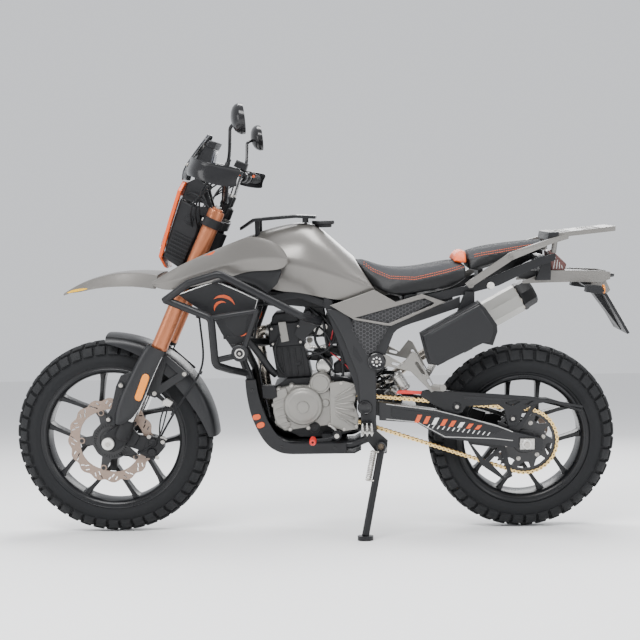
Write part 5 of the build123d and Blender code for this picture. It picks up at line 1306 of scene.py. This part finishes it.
mirror_parts = []
for side, bend, centre in ((-1, (-64, 300, 1140), (-36, 340, 1172)),
        (1, (-64, 300, 1118), (-32, 340, 1148))):
    base, foot, knee, glass = (FORK @ Vector((x, side * y, z)) for x, y, z in
        ((-30, 268, 1019), (-30, 268, 1046), bend, centre))
    mirror_parts += [
        between([(9, 0), (9, 14), (7, 18), (7, 28)], base, foot, engine_black, 6),
        pipe([base, foot, foot.lerp(knee, 0.5), knee.lerp(foot, 0.12), knee, knee.lerp(glass, 0.6)], 5.4,
            gloss_black, 20)]
    rings = []
    for out, size in ((7.6, 0.93), (7, 0.95), (8, 0.99), (-4, 1.01), (-14, 0.92), (-22, 0.76), (-28, 0.5),
            (-31, 0.2)):
        ring = []
        for k in range(32):
            a = 2 * math.pi * k / 32
            wide, tall = 64 * math.cos(a), (48 if math.sin(a) > 0 else 44) * math.sin(a)
            wide += 8 * math.sin(a) * (1 - abs(math.cos(a)))
            ring.append(glass + Vector((out - (0.1 * tall + 0.16 * side * wide) * size, side * wide * size,
                tall * size)))
        rings.append(ring)
    mirror_parts += [
        skinned(rings[1:], gloss_black),
        skinned([[p + Vector((out, 0, 0)) for p in rings[0]] for out in (-0.8, 0.6)], mirror_glass)]
assembly("mirror_set", mirror_parts, "black_plastic", "mirrors", body="steering", crease=50)


# ---- Headlight and screen ----
# Moulded lamp housing with cooling fins and two stacked lamps behind a clear cover, framed by a coloured
# mask. A small smoked screen shades the instrument above it.
lamp_glass = finish("lamp_glass", (0.8, 0.82, 0.84), 0.06, mottle=(0.01, 60), polish=0.02,
    Transmission_Weight=0.85)
smoked_screen = finish("smoked_screen", (0.035, 0.037, 0.042), 0.14, mottle=(0.05, 60),
    Transmission_Weight=0.4)
display_glass = finish("display_glass", (0.01, 0.012, 0.022), 0.12, mottle=(0.05, 60))
lamp = [plate([(-132, 654), (-62, 641), (-57, 770), (-70, 850), (-152, 857), (-145, 770)], 0, 144,
    trim_black, 6)]
for k in range(7):
    fin_z = 668 + 13 * k
    lamp.append(plate([(-130, fin_z), (-62, fin_z - 3), (-62, fin_z + 2), (-130, fin_z + 5)], 0, 156,
        trim_black, 0.8))
for side in (-1, 1):
    lamp += [
        turned([(8, 12), (9, 9), (13, 9), (14, 6), (14, 0)], (-98, side * 71, 806), trim_black, 32, side),
        plate([(-84, 838), (-48, 832), (-24, 846), (-24, 858), (-70, 866), (-88, 856)], side * 76, 8,
            trim_black, 2),
        plate([(-150, 858), (-96, 864), (-84, 930), (-128, 944), (-152, 916)], side * 60, 6, trim_black, 2),
        pipe([(-140, side * 70, 880), (-112, side * 86, 905), (-84, side * 84, 880), (-50, side * 80, 866)],
            4, rubber, 12)]
for z in (722, 806):
    lamp += [
        between([(44, 0), (44, 12), (38, 12), (24, 4), (0.5, 3)], (-138, 0, z), (-160, 0, z), machined, 48),
        between([(22, 0), (22, 8), (16, 13), (0.5, 15)], (-141, 0, z), (-160, 0, z), mirror_glass, 32)]
assembly("lamp_housing", lamp, "black_plastic", "headlight", **STEERED)
cover = moulded([[(x, -w, z), (x - 5, -w * 0.6, z), (x - 7, 0, z), (x - 5, w * 0.6, z), (x, w, z)]
    for x, z, w in ((-150, 668, 50), (-157, 680, 54), (-160, 770, 55), (-166, 850, 55), (-163, 862, 50))],
    lamp_glass, thick=3)
piece("lamp_cover", cover, "smoked", crease=60, **STEERED)
softened("lamp_mask", "headlight_mask", signal_orange, "orange_plastic", 2.2, body="steering")
screen = moulded([[(x + 3, -w, z), (x - 3, -w * 0.7, z), (x - 8, 0, z), (x - 3, w * 0.7, z), (x + 3, w, z)]
    for x, z, w in ((-170, 915, 82), (-176, 932, 90), (-180, 952, 91), (-170, 1010, 82), (-158, 1062, 70),
    (-152, 1088, 58))], smoked_screen, stations={0: 0.6, 5: 0.6}, thick=3.5)
piece("screen_shell", screen, "smoked", "flyscreen", crease=60, **STEERED)
dash = [
    plate([(-150, 940), (-160, 985), (-144, 1066), (-136, 1074), (-122, 1074), (-118, 1066), (-108, 1000),
        (-104, 940)], 0, 124, trim_black, 4),
    plate([(-144, 1050), (-140, 1072), (-112, 1076), (-114, 1052)], 0, 132, trim_black, 3),
    plate([(-117, 1046), (-109, 1000), (-106, 1000), (-114, 1047)], 0, 108, display_glass, 0.8)]
for side in (-1, 1):
    dash += [
        between([(5, 0), (5, 46)], (-176, side * 40, 965), (-130, side * 40, 965), trim_black, 16),
        plate([(-146, 946), (-104, 942), (-40, 862), (-20, 862), (-20, 852), (-54, 852), (-128, 918)],
            side * 34, 6, trim_black, 2),
        screws("screen_bolts", [(-182, side * 40, 965)], 5, 3, (-1, 0, 0))]
dash += [
    between([(20, 0), (22, 4), (22, 36), (18, 40)], (-2, 0, 852), (-4, 0, 892), engine_black, 32),
    pipe([(-120, 20, 950), (-90, 60, 920), (-60, 40, 880), (-40, 30, 840)], 5, rubber, 12),
    pipe([(-120, -20, 945), (-96, -74, 900), (-70, -84, 880), (-40, -60, 850), (-10, -40, 810)], 4.5, rubber,
        12)]
assembly("dash_set", dash, "black_plastic", **STEERED)


# ---- Frame and guards ----
# Welded steel spine and cradle with forged side spars, all powder-coated black. Tubular crash bars, radiator
# covers and a moulded belly pan are bolted on.
frame_black = finish("frame_black", (0.0095, 0.0098, 0.011), 0.36, mottle=(0.1, 60), grain=(0.12, 0.8),
    Specular_IOR_Level=0.28)
spar_grey = finish("spar_grey", (0.0125, 0.0128, 0.0142), 0.36, mottle=(0.08, 90), grain=(0.1, 0.8),
    Specular_IOR_Level=0.3)


def curved(points, per=5):
    """A smooth line through the points, as a list of points."""
    line = []
    ends = [points[0]] + list(points) + [points[-1]]
    for a, b, c, d in zip(ends, ends[1:], ends[2:], ends[3:]):
        for k in range(per):
            t = k / per
            line.append(tuple(0.5 * (2 * q + (r - p) * t + (2 * p - 5 * q + 4 * r - s) * t * t
                + (3 * q - p - 3 * r + s) * t ** 3) for p, q, r, s in zip(a, b, c, d)))
    return line + [tuple(points[-1])]


softened("frame_weldment", "main_frame", frame_black, "frame_black", 2.2, 40)
softened("subframe_weldment", "subframe", frame_black, "frame_black", 2, 40)
SPAR = [(50, 795), (77, 791), (112, 772), (130, 738), (150, 690), (176, 645), (192, 628), (203, 582),
    (203, 500), (201, 400), (190, 345), (166, 352), (153, 380), (146, 498), (140, 566), (118, 628),
    (92, 696), (62, 756), (40, 786)]
sides = []
for side in (-1, 1):
    sides += [
        plate(curved(SPAR + SPAR[:1], 3), side * 140, 9, spar_grey, 3.4),
        plate([(128, 672), (160, 618), (150, 608), (126, 640)], side * 144.2, 2, frame_black, 0.8),
        plate(curved([(484, 829), (436, 811), (340, 776), (253, 738), (212, 676), (184, 626), (220, 613),
            (246, 664), (275, 720), (380, 758), (484, 792)], 4), side * 134, 7, spar_grey, 2.6),
        plate([(-206, 876), (-143, 840), (-60, 856), (61, 811), (70, 800), (38, 793), (-49, 828),
            (-118, 820), (-198, 848)], side * 119, 7, trim_black, 2)]
    for x, z in ((1, 743), (29, 725), (-27, 661)):
        sides += [
            turned([(7, 5), (8, 3), (8, 0)], (x, side * 73, z), machined, 6, side),
            turned([(11, 2), (11, 0)], (x, side * 72, z), bolt_steel, 24, side)]
    sides.append(turned([(18, 13), (20, 14.5), (23, 14), (25, 11), (25, 0)], (164, side * 137, 459),
        gloss_black, 48, side))
sides += [
    plate([(-236, 886), (-150, 850), (40, 838), (66, 806), (60, 786), (-20, 792), (-150, 806), (-262, 856)],
        0, 150, trim_black, 4),
    pipe([(-20, -70, 790), (10, -84, 770), (36, -80, 740), (30, -78, 690), (44, -76, 640)], 5, trim_black,
        12),
    pipe([(0, -60, 786), (30, -90, 756), (70, -96, 720), (82, -92, 660), (96, -90, 600)], 3.2, trim_black,
        12),
    pipe([(-210, -64, 850), (-190, -84, 800), (-196, -90, 740), (-206, -88, 690)], 4, trim_black, 12),
    turned([(12, 18), (14, 15), (14, -16)], (-24, -70, 770), trim_black, 24)]
assembly("spar_covers", sides, "frame_black", "pivot_bolt", crease=45)

softened("crash_bar_tubes", "crash_bars", frame_black, "frame_black", 1.2, 50)
fitted = []
for side in (-1, 1):
    fitted += [
        turned([(7, 8), (9, 9), (11, 8), (11, 4), (17, 3), (24, 4), (27.5, 2), (28, -2), (28, -20)],
            (-243, side * 222, 660), trim_black, 48, side),
        turned([(11.5, 4.6), (16, 4.6), (16, 3), (11.5, 3)], (-243, side * 222, 660), machined, 48, side,
            hollow=True),
        screws("crash_bolts", [(-243, side * 229, 660)], 5, 3, (0, side, 0))]
assembly("crash_bar_pucks", fitted, "black_plastic")

# radiators: finned cores between their tanks, and the covers with painted sweeps and a painted highlight
# drawn as a silver line along their rims
core_grey = finish("core_grey", (0.05, 0.05, 0.052), 0.5, metal=0.5, mottle=(0.2, 10))
softened("radiator_tanks", "radiators", engine_black, "black_alloy", 2.5)
cores, covers = [], []
PANEL_SIDE = [(-446, 852), (-380, 875), (-318, 896), (-250, 866), (-178, 832), (-192, 792), (-208, 742),
    (-226, 692), (-252, 684), (-280, 682), (-306, 722), (-330, 772), (-392, 812)]
# bright silver: its lines on the radiator covers' rims are painted highlights; the same silver also marks
# lines on the swingarm and strips on the tail
edge_silver = finish("edge_silver", (0.46, 0.46, 0.45), 0.3, metal=0.6, mottle=(0.04, 60))
for side in (-1, 1):
    for k in range(22):
        z = 722 + 6 * k
        x = -313 + 14 * (858 - z) / 146
        cores.append(plate([(x - 1.5, z), (x + 30, z), (x + 30, z + 1.4), (x - 1.5, z + 1.4)], side * 127,
            70, core_grey, 0.3))
    face = side * 181
    covers += [
        plate(PANEL_SIDE, side * 176.5, 9, trim_black, 3),
        plate([(-300, 782), (-214, 796), (-226, 720), (-258, 708), (-284, 740)], face, 3, frame_black, 1)]
    # silver lines along the top and front rims of each cover: painted highlights where the edge catches the
    # light
    for rim, r in (([(-443, 850), (-382, 872), (-318, 892), (-248, 861), (-184, 830)], 1.6),
            ([(-184, 830), (-196, 790), (-212, 740), (-229, 695)], 1.2)):
        covers.append(pipe([(x, face, z) for x, z in rim], r, edge_silver, 8, False))
    # sweeps: nested arcs of one colour, each thicker in its middle
    for x, z, r, wide, a0, a1 in ((-300, 800, 44, 10, 20, 128), (-300, 800, 26, 8, 60, 190),
            (-262, 762, 30, 7, -60, 40), (-252, 760, 50, 5, -80, -6)):
        outer, inner = ([polar(r + way * wide * math.sin(math.pi * k / 14) / 2 - thinner,
            a0 + (a1 - a0) * k / 14, x, z) for k in range(15)] for way, thinner in ((1, 0), (-1, 0.6)))
        covers.append(plate(outer + inner[::-1], face + side * 0.6, 1.2, signal_orange, 0.3))
    covers.append(screws("panel_bolts", [(-300, face, 862), (-284, face, 711)], 4, 2, (0, side, 0),
        gloss_black))
assembly("radiator_cores", cores, "black_alloy", crease=30)
assembly("radiator_side_covers", covers, "black_plastic", "radiator_covers", crease=45)

# belly pan: a band bent round the front and underside of the cradle, with side walls
PAN_OUT = [(-238, 554), (-234, 500), (-220, 430), (-192, 364), (-160, 322), (-121, 301), (-84, 296),
    (128, 296), (150, 308)]
PAN_IN = [(100, 334), (4, 332), (-84, 333), (-118, 346), (-148, 382), (-172, 430), (-192, 492), (-203, 556)]
path = curved(PAN_OUT[:7]) + PAN_OUT[7:]
sections = []
for k, (x, z) in enumerate(path):
    (x0, z0), (x1, z1) = path[max(0, k - 1)], path[min(len(path) - 1, k + 1)]
    run_in = Vector((z0 - z1, x1 - x0)).normalized() * 5
    sections.append([(x, -125, z), (x, 125, z), (x + run_in.x, 125, z + run_in.y),
        (x + run_in.x, -125, z + run_in.y)])
belly = [skinned(sections, trim_black)]
for side in (-1, 1):
    belly.append(plate(curved(PAN_OUT[:7]) + PAN_OUT[7:8] + [(100, 300)] + PAN_IN[:2] + curved(PAN_IN[2:]),
        side * 121.7, 7, trim_black, 2.2))
    for x, z, turn_by in ((-203, 427, 12), (-190, 399, 22)):
        belly.append(plate(slot(x, z, 28, 19, turn_by), side * 126, 3, signal_orange, 1))
    belly.append(screws("pan_bolts", [(-216, side * 125.5, 520), (-120, side * 125.5, 322),
        (60, side * 125.5, 316)], 5, 3, (0, side, 0), gloss_black))
assembly("belly_pan", belly, "black_plastic", "skid_plate", crease=40)


# ---- Swingarm and rear suspension ----
# Box-section arm with bolted axle adjusters, a single coil-over shock, and moulded guards for the chain.
def helix(start, along, rise, turns, per_turn, u, v, r):
    """Points of a coil in the plane of u and v; rise: where it begins and how far it runs."""
    count, points = int(turns * per_turn), []
    for k in range(count + 1):
        a = 2 * math.pi * k / per_turn
        points.append(start + along * (rise[0] + rise[1] * k / count) + u * r * math.cos(a)
            + v * r * math.sin(a))
    return points


softened("swingarm_casting", "swingarm", spar_grey, "black_alloy", 4)
rear = []
for side in (-1, 1):
    face = side * 134
    rear.append(plate([(252, 456), (404, 432), (560, 400), (640, 374), (600, 360), (440, 364), (348, 408),
        (252, 424)], face + side * 0.6, 2.4, frame_black, 1))
    for edge in ([(236, 468), (404, 444), (600, 392), (664, 366)], [(236, 416), (342, 404), (434, 352),
            (600, 344), (664, 336)]):
        rear.append(pipe([(x, face + side * 0.2, z) for x, z in edge], 1.7, edge_silver, 8, False))
    # a row of slanted bars that shorten towards the tail, over a row of short hatching
    for k in range(8):
        x, z, tall = 330 + 29 * k, 416 - 4.6 * k, 27 - 1.8 * k
        rear.append(plate([(x, z - tall / 2), (x + 15, z - tall / 2), (x + 27, z + tall / 2),
            (x + 12, z + tall / 2)], face + side * 1.9, 0.8, band_white if k % 3 == 2 else signal_orange,
            0.2))
    for k in range(13):
        x, z = 372 + 17 * k, 391 - 2.5 * k
        rear.append(plate([(x, z - 6), (x + 4, z - 6), (x + 12, z + 5), (x + 8, z + 5)], face + side * 1.9,
            0.8, band_white, 0.2))
    x, z = REAR_AXLE.x, REAR_AXLE.z
    rear += [
        plate([(x - 23, z - 19), (x + 27, z - 19), (x + 27, z + 19), (x - 23, z + 19)], side * 139, 10,
            machined, 2.5),
        turned([(14, 9), (16, 8), (18, 5), (19, 0)], (x, side * 143, z), washer_bright, 40, side),
        turned([(9.5, 16), (10, 15), (10, 0)], (x, side * 143, z), bolt_steel, 24, side),
        between([(5, 0), (5, 30)], (x + 26, side * 120, z), (x + 56, side * 120, z), bolt_steel, 16)]
rear.append(turned([(10, 134), (10, -134)], REAR_AXLE, machined))
assembly("axle_set", rear, "steel", "rear_axle", crease=40)
slider_red = finish("slider_red", (0.55, 0.02, 0.015), 0.45, mottle=(0.08, 20))
piece("chain_slider", plate([(270, 498), (376, 494), (376, 504), (300, 510), (276, 508)], -108, 8,
    slider_red, 2), "orange_plastic")
softened("chain_guard_moulding", "chain_guard", trim_black, "black_plastic", 2)
GUARD = [(353, 490), (358, 508), (374, 512), (500, 502), (627, 492), (724, 484), (830, 464), (906, 449),
    (901, 442), (777, 463), (738, 456), (700, 436), (692, 402), (676, 382), (650, 382), (637, 440),
    (616, 456), (508, 452), (492, 430), (470, 420), (440, 432), (422, 444), (384, 468)]
guard_cut = [[(636, 462), (672, 472), (690, 466), (664, 452)], [(700, 456), (724, 470), (744, 472),
    (716, 452)]]
guard = [
    plate(GUARD, -113, 6, trim_black, 1.8, holes=guard_cut),
    plate([(500, 480), (640, 470), (720, 474), (640, 478), (500, 490)], -116, 2.4, spar_grey, 1),
    turned([(12, 5), (15, 2), (15, 0)], (476, -115, 452), trim_black, 32),
    turned([(10, 5), (13, 2), (13, 0)], (666, -115, 408), trim_black, 32),
    screws("guard_screws", [(476, -120, 452), (666, -120, 408)], 5, 3)]
assembly("chain_guard_panel", guard, "black_plastic")
softened("rear_caliper_body", "rear_caliper", engine_black, "black_alloy", 2.5)

shock_top, shock_foot = Vector((110.6, 0, 696.9)), Vector((283, 0, 462))
axis = (shock_foot - shock_top).normalized()
across_axis = axis.cross(Vector((0, 1, 0)))
coil = helix(shock_top, axis, (46, 206), 7.5, 20, across_axis, Vector((0, 1, 0)), 27)
shock = [
    pipe(coil, 5.6, gloss_black, 12),
    between([(13, 6), (13, 34), (33, 36), (33, 44), (20, 46), (20, 130), (9, 132), (9, 244), (31, 246),
        (31, 258), (14, 262), (14, 284)], shock_top, shock_foot, machined, 40),
    between([(20, 0), (22, 3), (22, 12), (20, 14), (20, 52), (22, 54), (22, 62), (18, 66)], (270, -64, 560),
        (304, -64, 503), machined, 40),
    pipe([(220, -4, 552), (242, -30, 560), (262, -58, 562)], 7, rubber, 16),
    turned([(14, 16), (14, -16)], shock_foot, engine_black, 32)]
assembly("shock_absorber", shock, "steel", "rear_shock", crease=40)


# ---- Footrests, controls and stand ----
# Cast hangers carry the passenger's pegs, and toothed steel pegs the rider's. The gear pedal has a red
# rubber; the stand folds on an inclined pin against a pair of springs.
hangers = []
for side in (-1, 1):
    outline = [(196, 640), (240, 636), (292, 606), (325, 648), (340, 640), (404, 516), (388, 508),
        (318, 580), (244, 598), (200, 592)]
    hangers += [
        plate(outline, side * 142, 11, cast_silver, 2.2, holes=[slot(350, 590, 52, 10, -58),
            slot(382, 541, 28, 9, -58), slot(270, 605, 30, 9, -14)]),
        turned([(24, 14), (27, 16), (30, 14), (31, 10), (31, 0)], (205, side * 137, 615), gloss_black, 56,
            side),
        turned([(5, 3), (6, 2), (6, 0)], (205, side * 150, 615), bolt_steel, 6, side)]
    for x, z in circle(205, 615, 14, 8):
        hangers.append(turned([(3, 1.5), (3, 0)], (x, side * 150.4, z), band_white, 12, side))
    ribs = [(0.5, 0), (9, 0), (9, 14)]
    for k in range(9):
        ribs += [(12, 16 + 9 * k), (12, 21 + 9 * k), (10, 23 + 9 * k)]
    ribs += [(12, 98), (11, 102), (0.5, 102)]
    hangers.append(between(ribs, (394, side * 140, 524), (420, side * 240, 540), cast_silver, 24))
assembly("peg_hangers", hangers, "cast_alloy", "pillion_pegs")
tooth = bmesh.new()
loft(tooth, [[(w, w, z), (-w, w, z), (-w, -w, z), (w, -w, z)] for w, z in ((4.6, 0), (4.0, 2), (1.2, 10),
    (0.8, 10.5))])
teeth, pegs = [], []
for side in (-1, 1):
    pegs += [
        plate([(150, 391), (190, 391), (190, 399), (150, 399)], side * 200, 90, machined, 1.5),
        plate([(150, 412), (186, 412), (192, 386), (150, 382)], side * 147, 18, engine_black, 3)]
    teeth += [((x, side * y, z), (0, 0, way)) for y in range(162, 244, 11) for x in (155, 170, 185)
        for z, way in ((398.5, 1), (391.5, -1))]
    teeth += [((x, side * 243, 394 + 4 * (x > 160)), (0.3 * (x - 170) / 15, side, 0.2))
        for x in (156, 170, 184)]
pegs.append(repeated("peg_teeth", tooth, machined, spots=teeth))
assembly("footpegs", pegs, "steel", "rider_pegs")
pedals = [
    turned([(8, 78), (8, 0)], (68, -78, 364), bolt_steel),
    turned([(14, 12), (16, 9), (16, 0)], (68, -138, 364), engine_black, 40),
    pipe([(68, -147, 364), (46, -152, 353), (10, -154, 350), (-12, -154, 352)], 6, engine_black, 16),
    turned([(8.5, 46), (9, 44), (9, 0)], (-12, -146, 352), rubber, 24),
    turned([(4, 50), (9, 50), (11.5, 46), (11.5, 8), (9.5, 6), (4, 6)], (-12, -144, 352), slider_red, 32,
        hollow=True),
    turned([(9, 156), (10, 136)], (176, 0, 364), engine_black, 24, 1),
    pipe([(176, 150, 364), (120, 156, 350), (50, 158, 344), (6, 156, 350)], 6, engine_black, 16),
    turned([(10, 196), (10, 150)], (6, 0, 350), machined, 24, 1),
    pipe([(68, -132, 366), (64, -130, 388), (40, -112, 392)], 4, machined, 12)]
assembly("pedal_set", pedals, "steel", "foot_controls")

softened("stand_bracket_forging", "stand_bracket", frame_black, "frame_black", 1.8)
softened("stand_leg_tube", "stand_leg", frame_black, "frame_black", 1.5, 50, body="side_stand")
hinge, heel = Vector((218, -166, 324)), Vector((160, -286, 58))
hinge_way = Vector((-0.123, -0.884, 0.451)).normalized()
stand_parts = [between([(10, 0), (11.5, 2), (11.5, 7), (9, 9)], hinge + hinge_way * 13,
    hinge + hinge_way * 30, pin_steel, 6)]
down = (heel - hinge).normalized()
beside = down.cross(hinge_way).normalized()
spring_top = hinge + hinge_way * 8
for wound, wire in ((9, 2.0), (5.5, 1.5)):
    spiral = helix(spring_top + beside * 23, down, (20, 95), 16, 15, beside, hinge_way, wound)
    stand_parts.append(pipe(spiral, wire, bolt_steel, 8))
for reach in (18, 116):
    pin = spring_top + down * reach
    stand_parts.append(between([(3.5, 0), (3.5, 30)], pin, pin + beside * 30, bolt_steel, 12))
assembly("stand_springs", stand_parts, "steel", body="side_stand")

# tool box: a moulded box with its lid on the outside, a lock and two hinges
BOX = [(346, 713), (372, 728), (540, 818), (556, 800), (593, 747), (595, 724), (579, 679), (551, 684),
    (404, 613), (371, 617)]
box_face = [(472 + (x - 472) * 0.95, 712 + (z - 712) * 0.95) for x, z in BOX]
box_set = [
    plate(BOX, -193, 78, trim_black, 5),
    plate(box_face, -241, 22, trim_black, 10),
    plate([(536, 817), (556, 800), (593, 747), (595, 724), (580, 679), (552, 685), (566, 728), (560, 752)],
        -198, 106, engine_black, 4),
    plate([(470, 770), (530, 806), (530, 846), (500, 846)], -144, 26, frame_black, 2)]
for x, z in ((412, 626), (500, 668)):
    box_set.append(between([(6, 0), (6, 30)], (x - 14, -240, z - 8), (x + 14, -240, z + 6), engine_black,
        16))
assembly("tool_case", box_set, "black_plastic", "tool_box")


# ---- Racks and tail ----
# Painted cast rear rack with grab rails, a small steel rack over the tank, and a slim moulded tail with its
# lamps and a plate holder, left blank.
rack_paint = finish("rack_paint", (0.175, 0.168, 0.157), 0.36, metal=0.5, mottle=(0.04, 60),
    grain=(0.1, 0.8))
tail_smoke = finish("tail_smoke", (0.1, 0.035, 0.03), 0.12, mottle=(0.06, 10))
softened("rear_rack_casting", "rear_rack", rack_paint, "rack_silver", 3)
softened("tank_rack_frame", "tank_rack", frame_black, "frame_black", 2.4)
softened("tail_moulding", "tail_unit", trim_black, "black_plastic", 2)
softened("tail_lens", "tail_light", tail_smoke, "lens_red", 3)
softened("turn_lamps", "indicators", trim_black, "black_plastic", 4)
tail = []
for side in (-1, 1):
    tail += [
        skinned([[(x, side * w, low), (x, side * (w + 7), low), (x, side * (w + 7), top), (x, side * w, top)]
            for x, top, low, w in ((700, 872, 864, 71), (790, 906, 866, 70), (883, 905, 866, 59),
            (971, 902, 862, 45), (1004, 896, 872, 32))], rack_paint),
        plate([(936, 868), (990, 868), (1006, 834), (984, 812), (966, 838), (940, 852)], side * 34, 8,
            rack_paint, 2),
        between([(14, 0), (15, 2), (14, 5), (0.5, 7)], (960, side * 125, 846), (970, side * 125, 847),
            reflector_amber),
        screws("rail_bolts", [(520, side * 149, 866), (650, side * 153, 958)], 7, 4, (0, side, 0),
            rack_paint),
        turned([(10, 6), (12.5, 4), (13, 0)], (586, side * 131, 862), washer_bright, 40, side)]
tail.append(plate([(778, 1008), (814, 1012), (816, 1036), (782, 1034)], 0, 202, trim_black, 3))
for k in range(4):
    tail.append(plate([(806 + 10 * k, 910), (809 + 10 * k, 910), (815 + 7 * k, 950 - 9 * k),
        (812 + 7 * k, 950 - 9 * k)], 0, 111.4, edge_silver, 0.8))
plate_way = Vector((80, 0, -134)).normalized()
plate_out = Vector((134, 0, 80)).normalized()
tail.append(skinned([[Vector((984, 0, 822)) + plate_way * (75 + u) + Vector((0, v, 0)) + plate_out * w
    for u, v in oblong(66, 92, 0.14, 4)] for w in (1, 3)], band_white))
assembly("tail_fittings", tail, "black_plastic", crease=40)

# exhaust: stainless pipe and a flat-sided silencer with a tapered black end cap
steel_warm = finish("steel_warm", (0.42, 0.38, 0.33), 0.28, metal=0.9, mottle=(0.12, 40), polish=0.08)
steel_brushed = finish("steel_brushed", (0.46, 0.455, 0.43), 0.45, metal=0.5, mottle=(0.05, 50),
    grain=(0.1, 0.8))
softened("exhaust_pipe", "exhaust", steel_warm, "exhaust_silver", 1.2, 50)
can = Vector((540, 188, 688))
along_can = Vector((0.879, 0.04, 0.475)).normalized()
trims = [
    between([(48, 6), (53, 12), (53, 210), (48, 215)], can, can + along_can, steel_brushed, 8),
    between([(50, 213), (54, 217), (54, 226), (51, 232), (49, 264), (40, 272), (24, 272), (22, 258),
        (0.5, 256)], can, can + along_can, engine_black, 8)]
rivets = [can + along_can * at + Vector((0.3, -0.95, 0.1)).normalized() * 50 for at in (24, 200)]
trims.append(screws("can_rivets", rivets, 3, 2))
assembly("silencer_trims", trims, "exhaust_silver", crease=30)
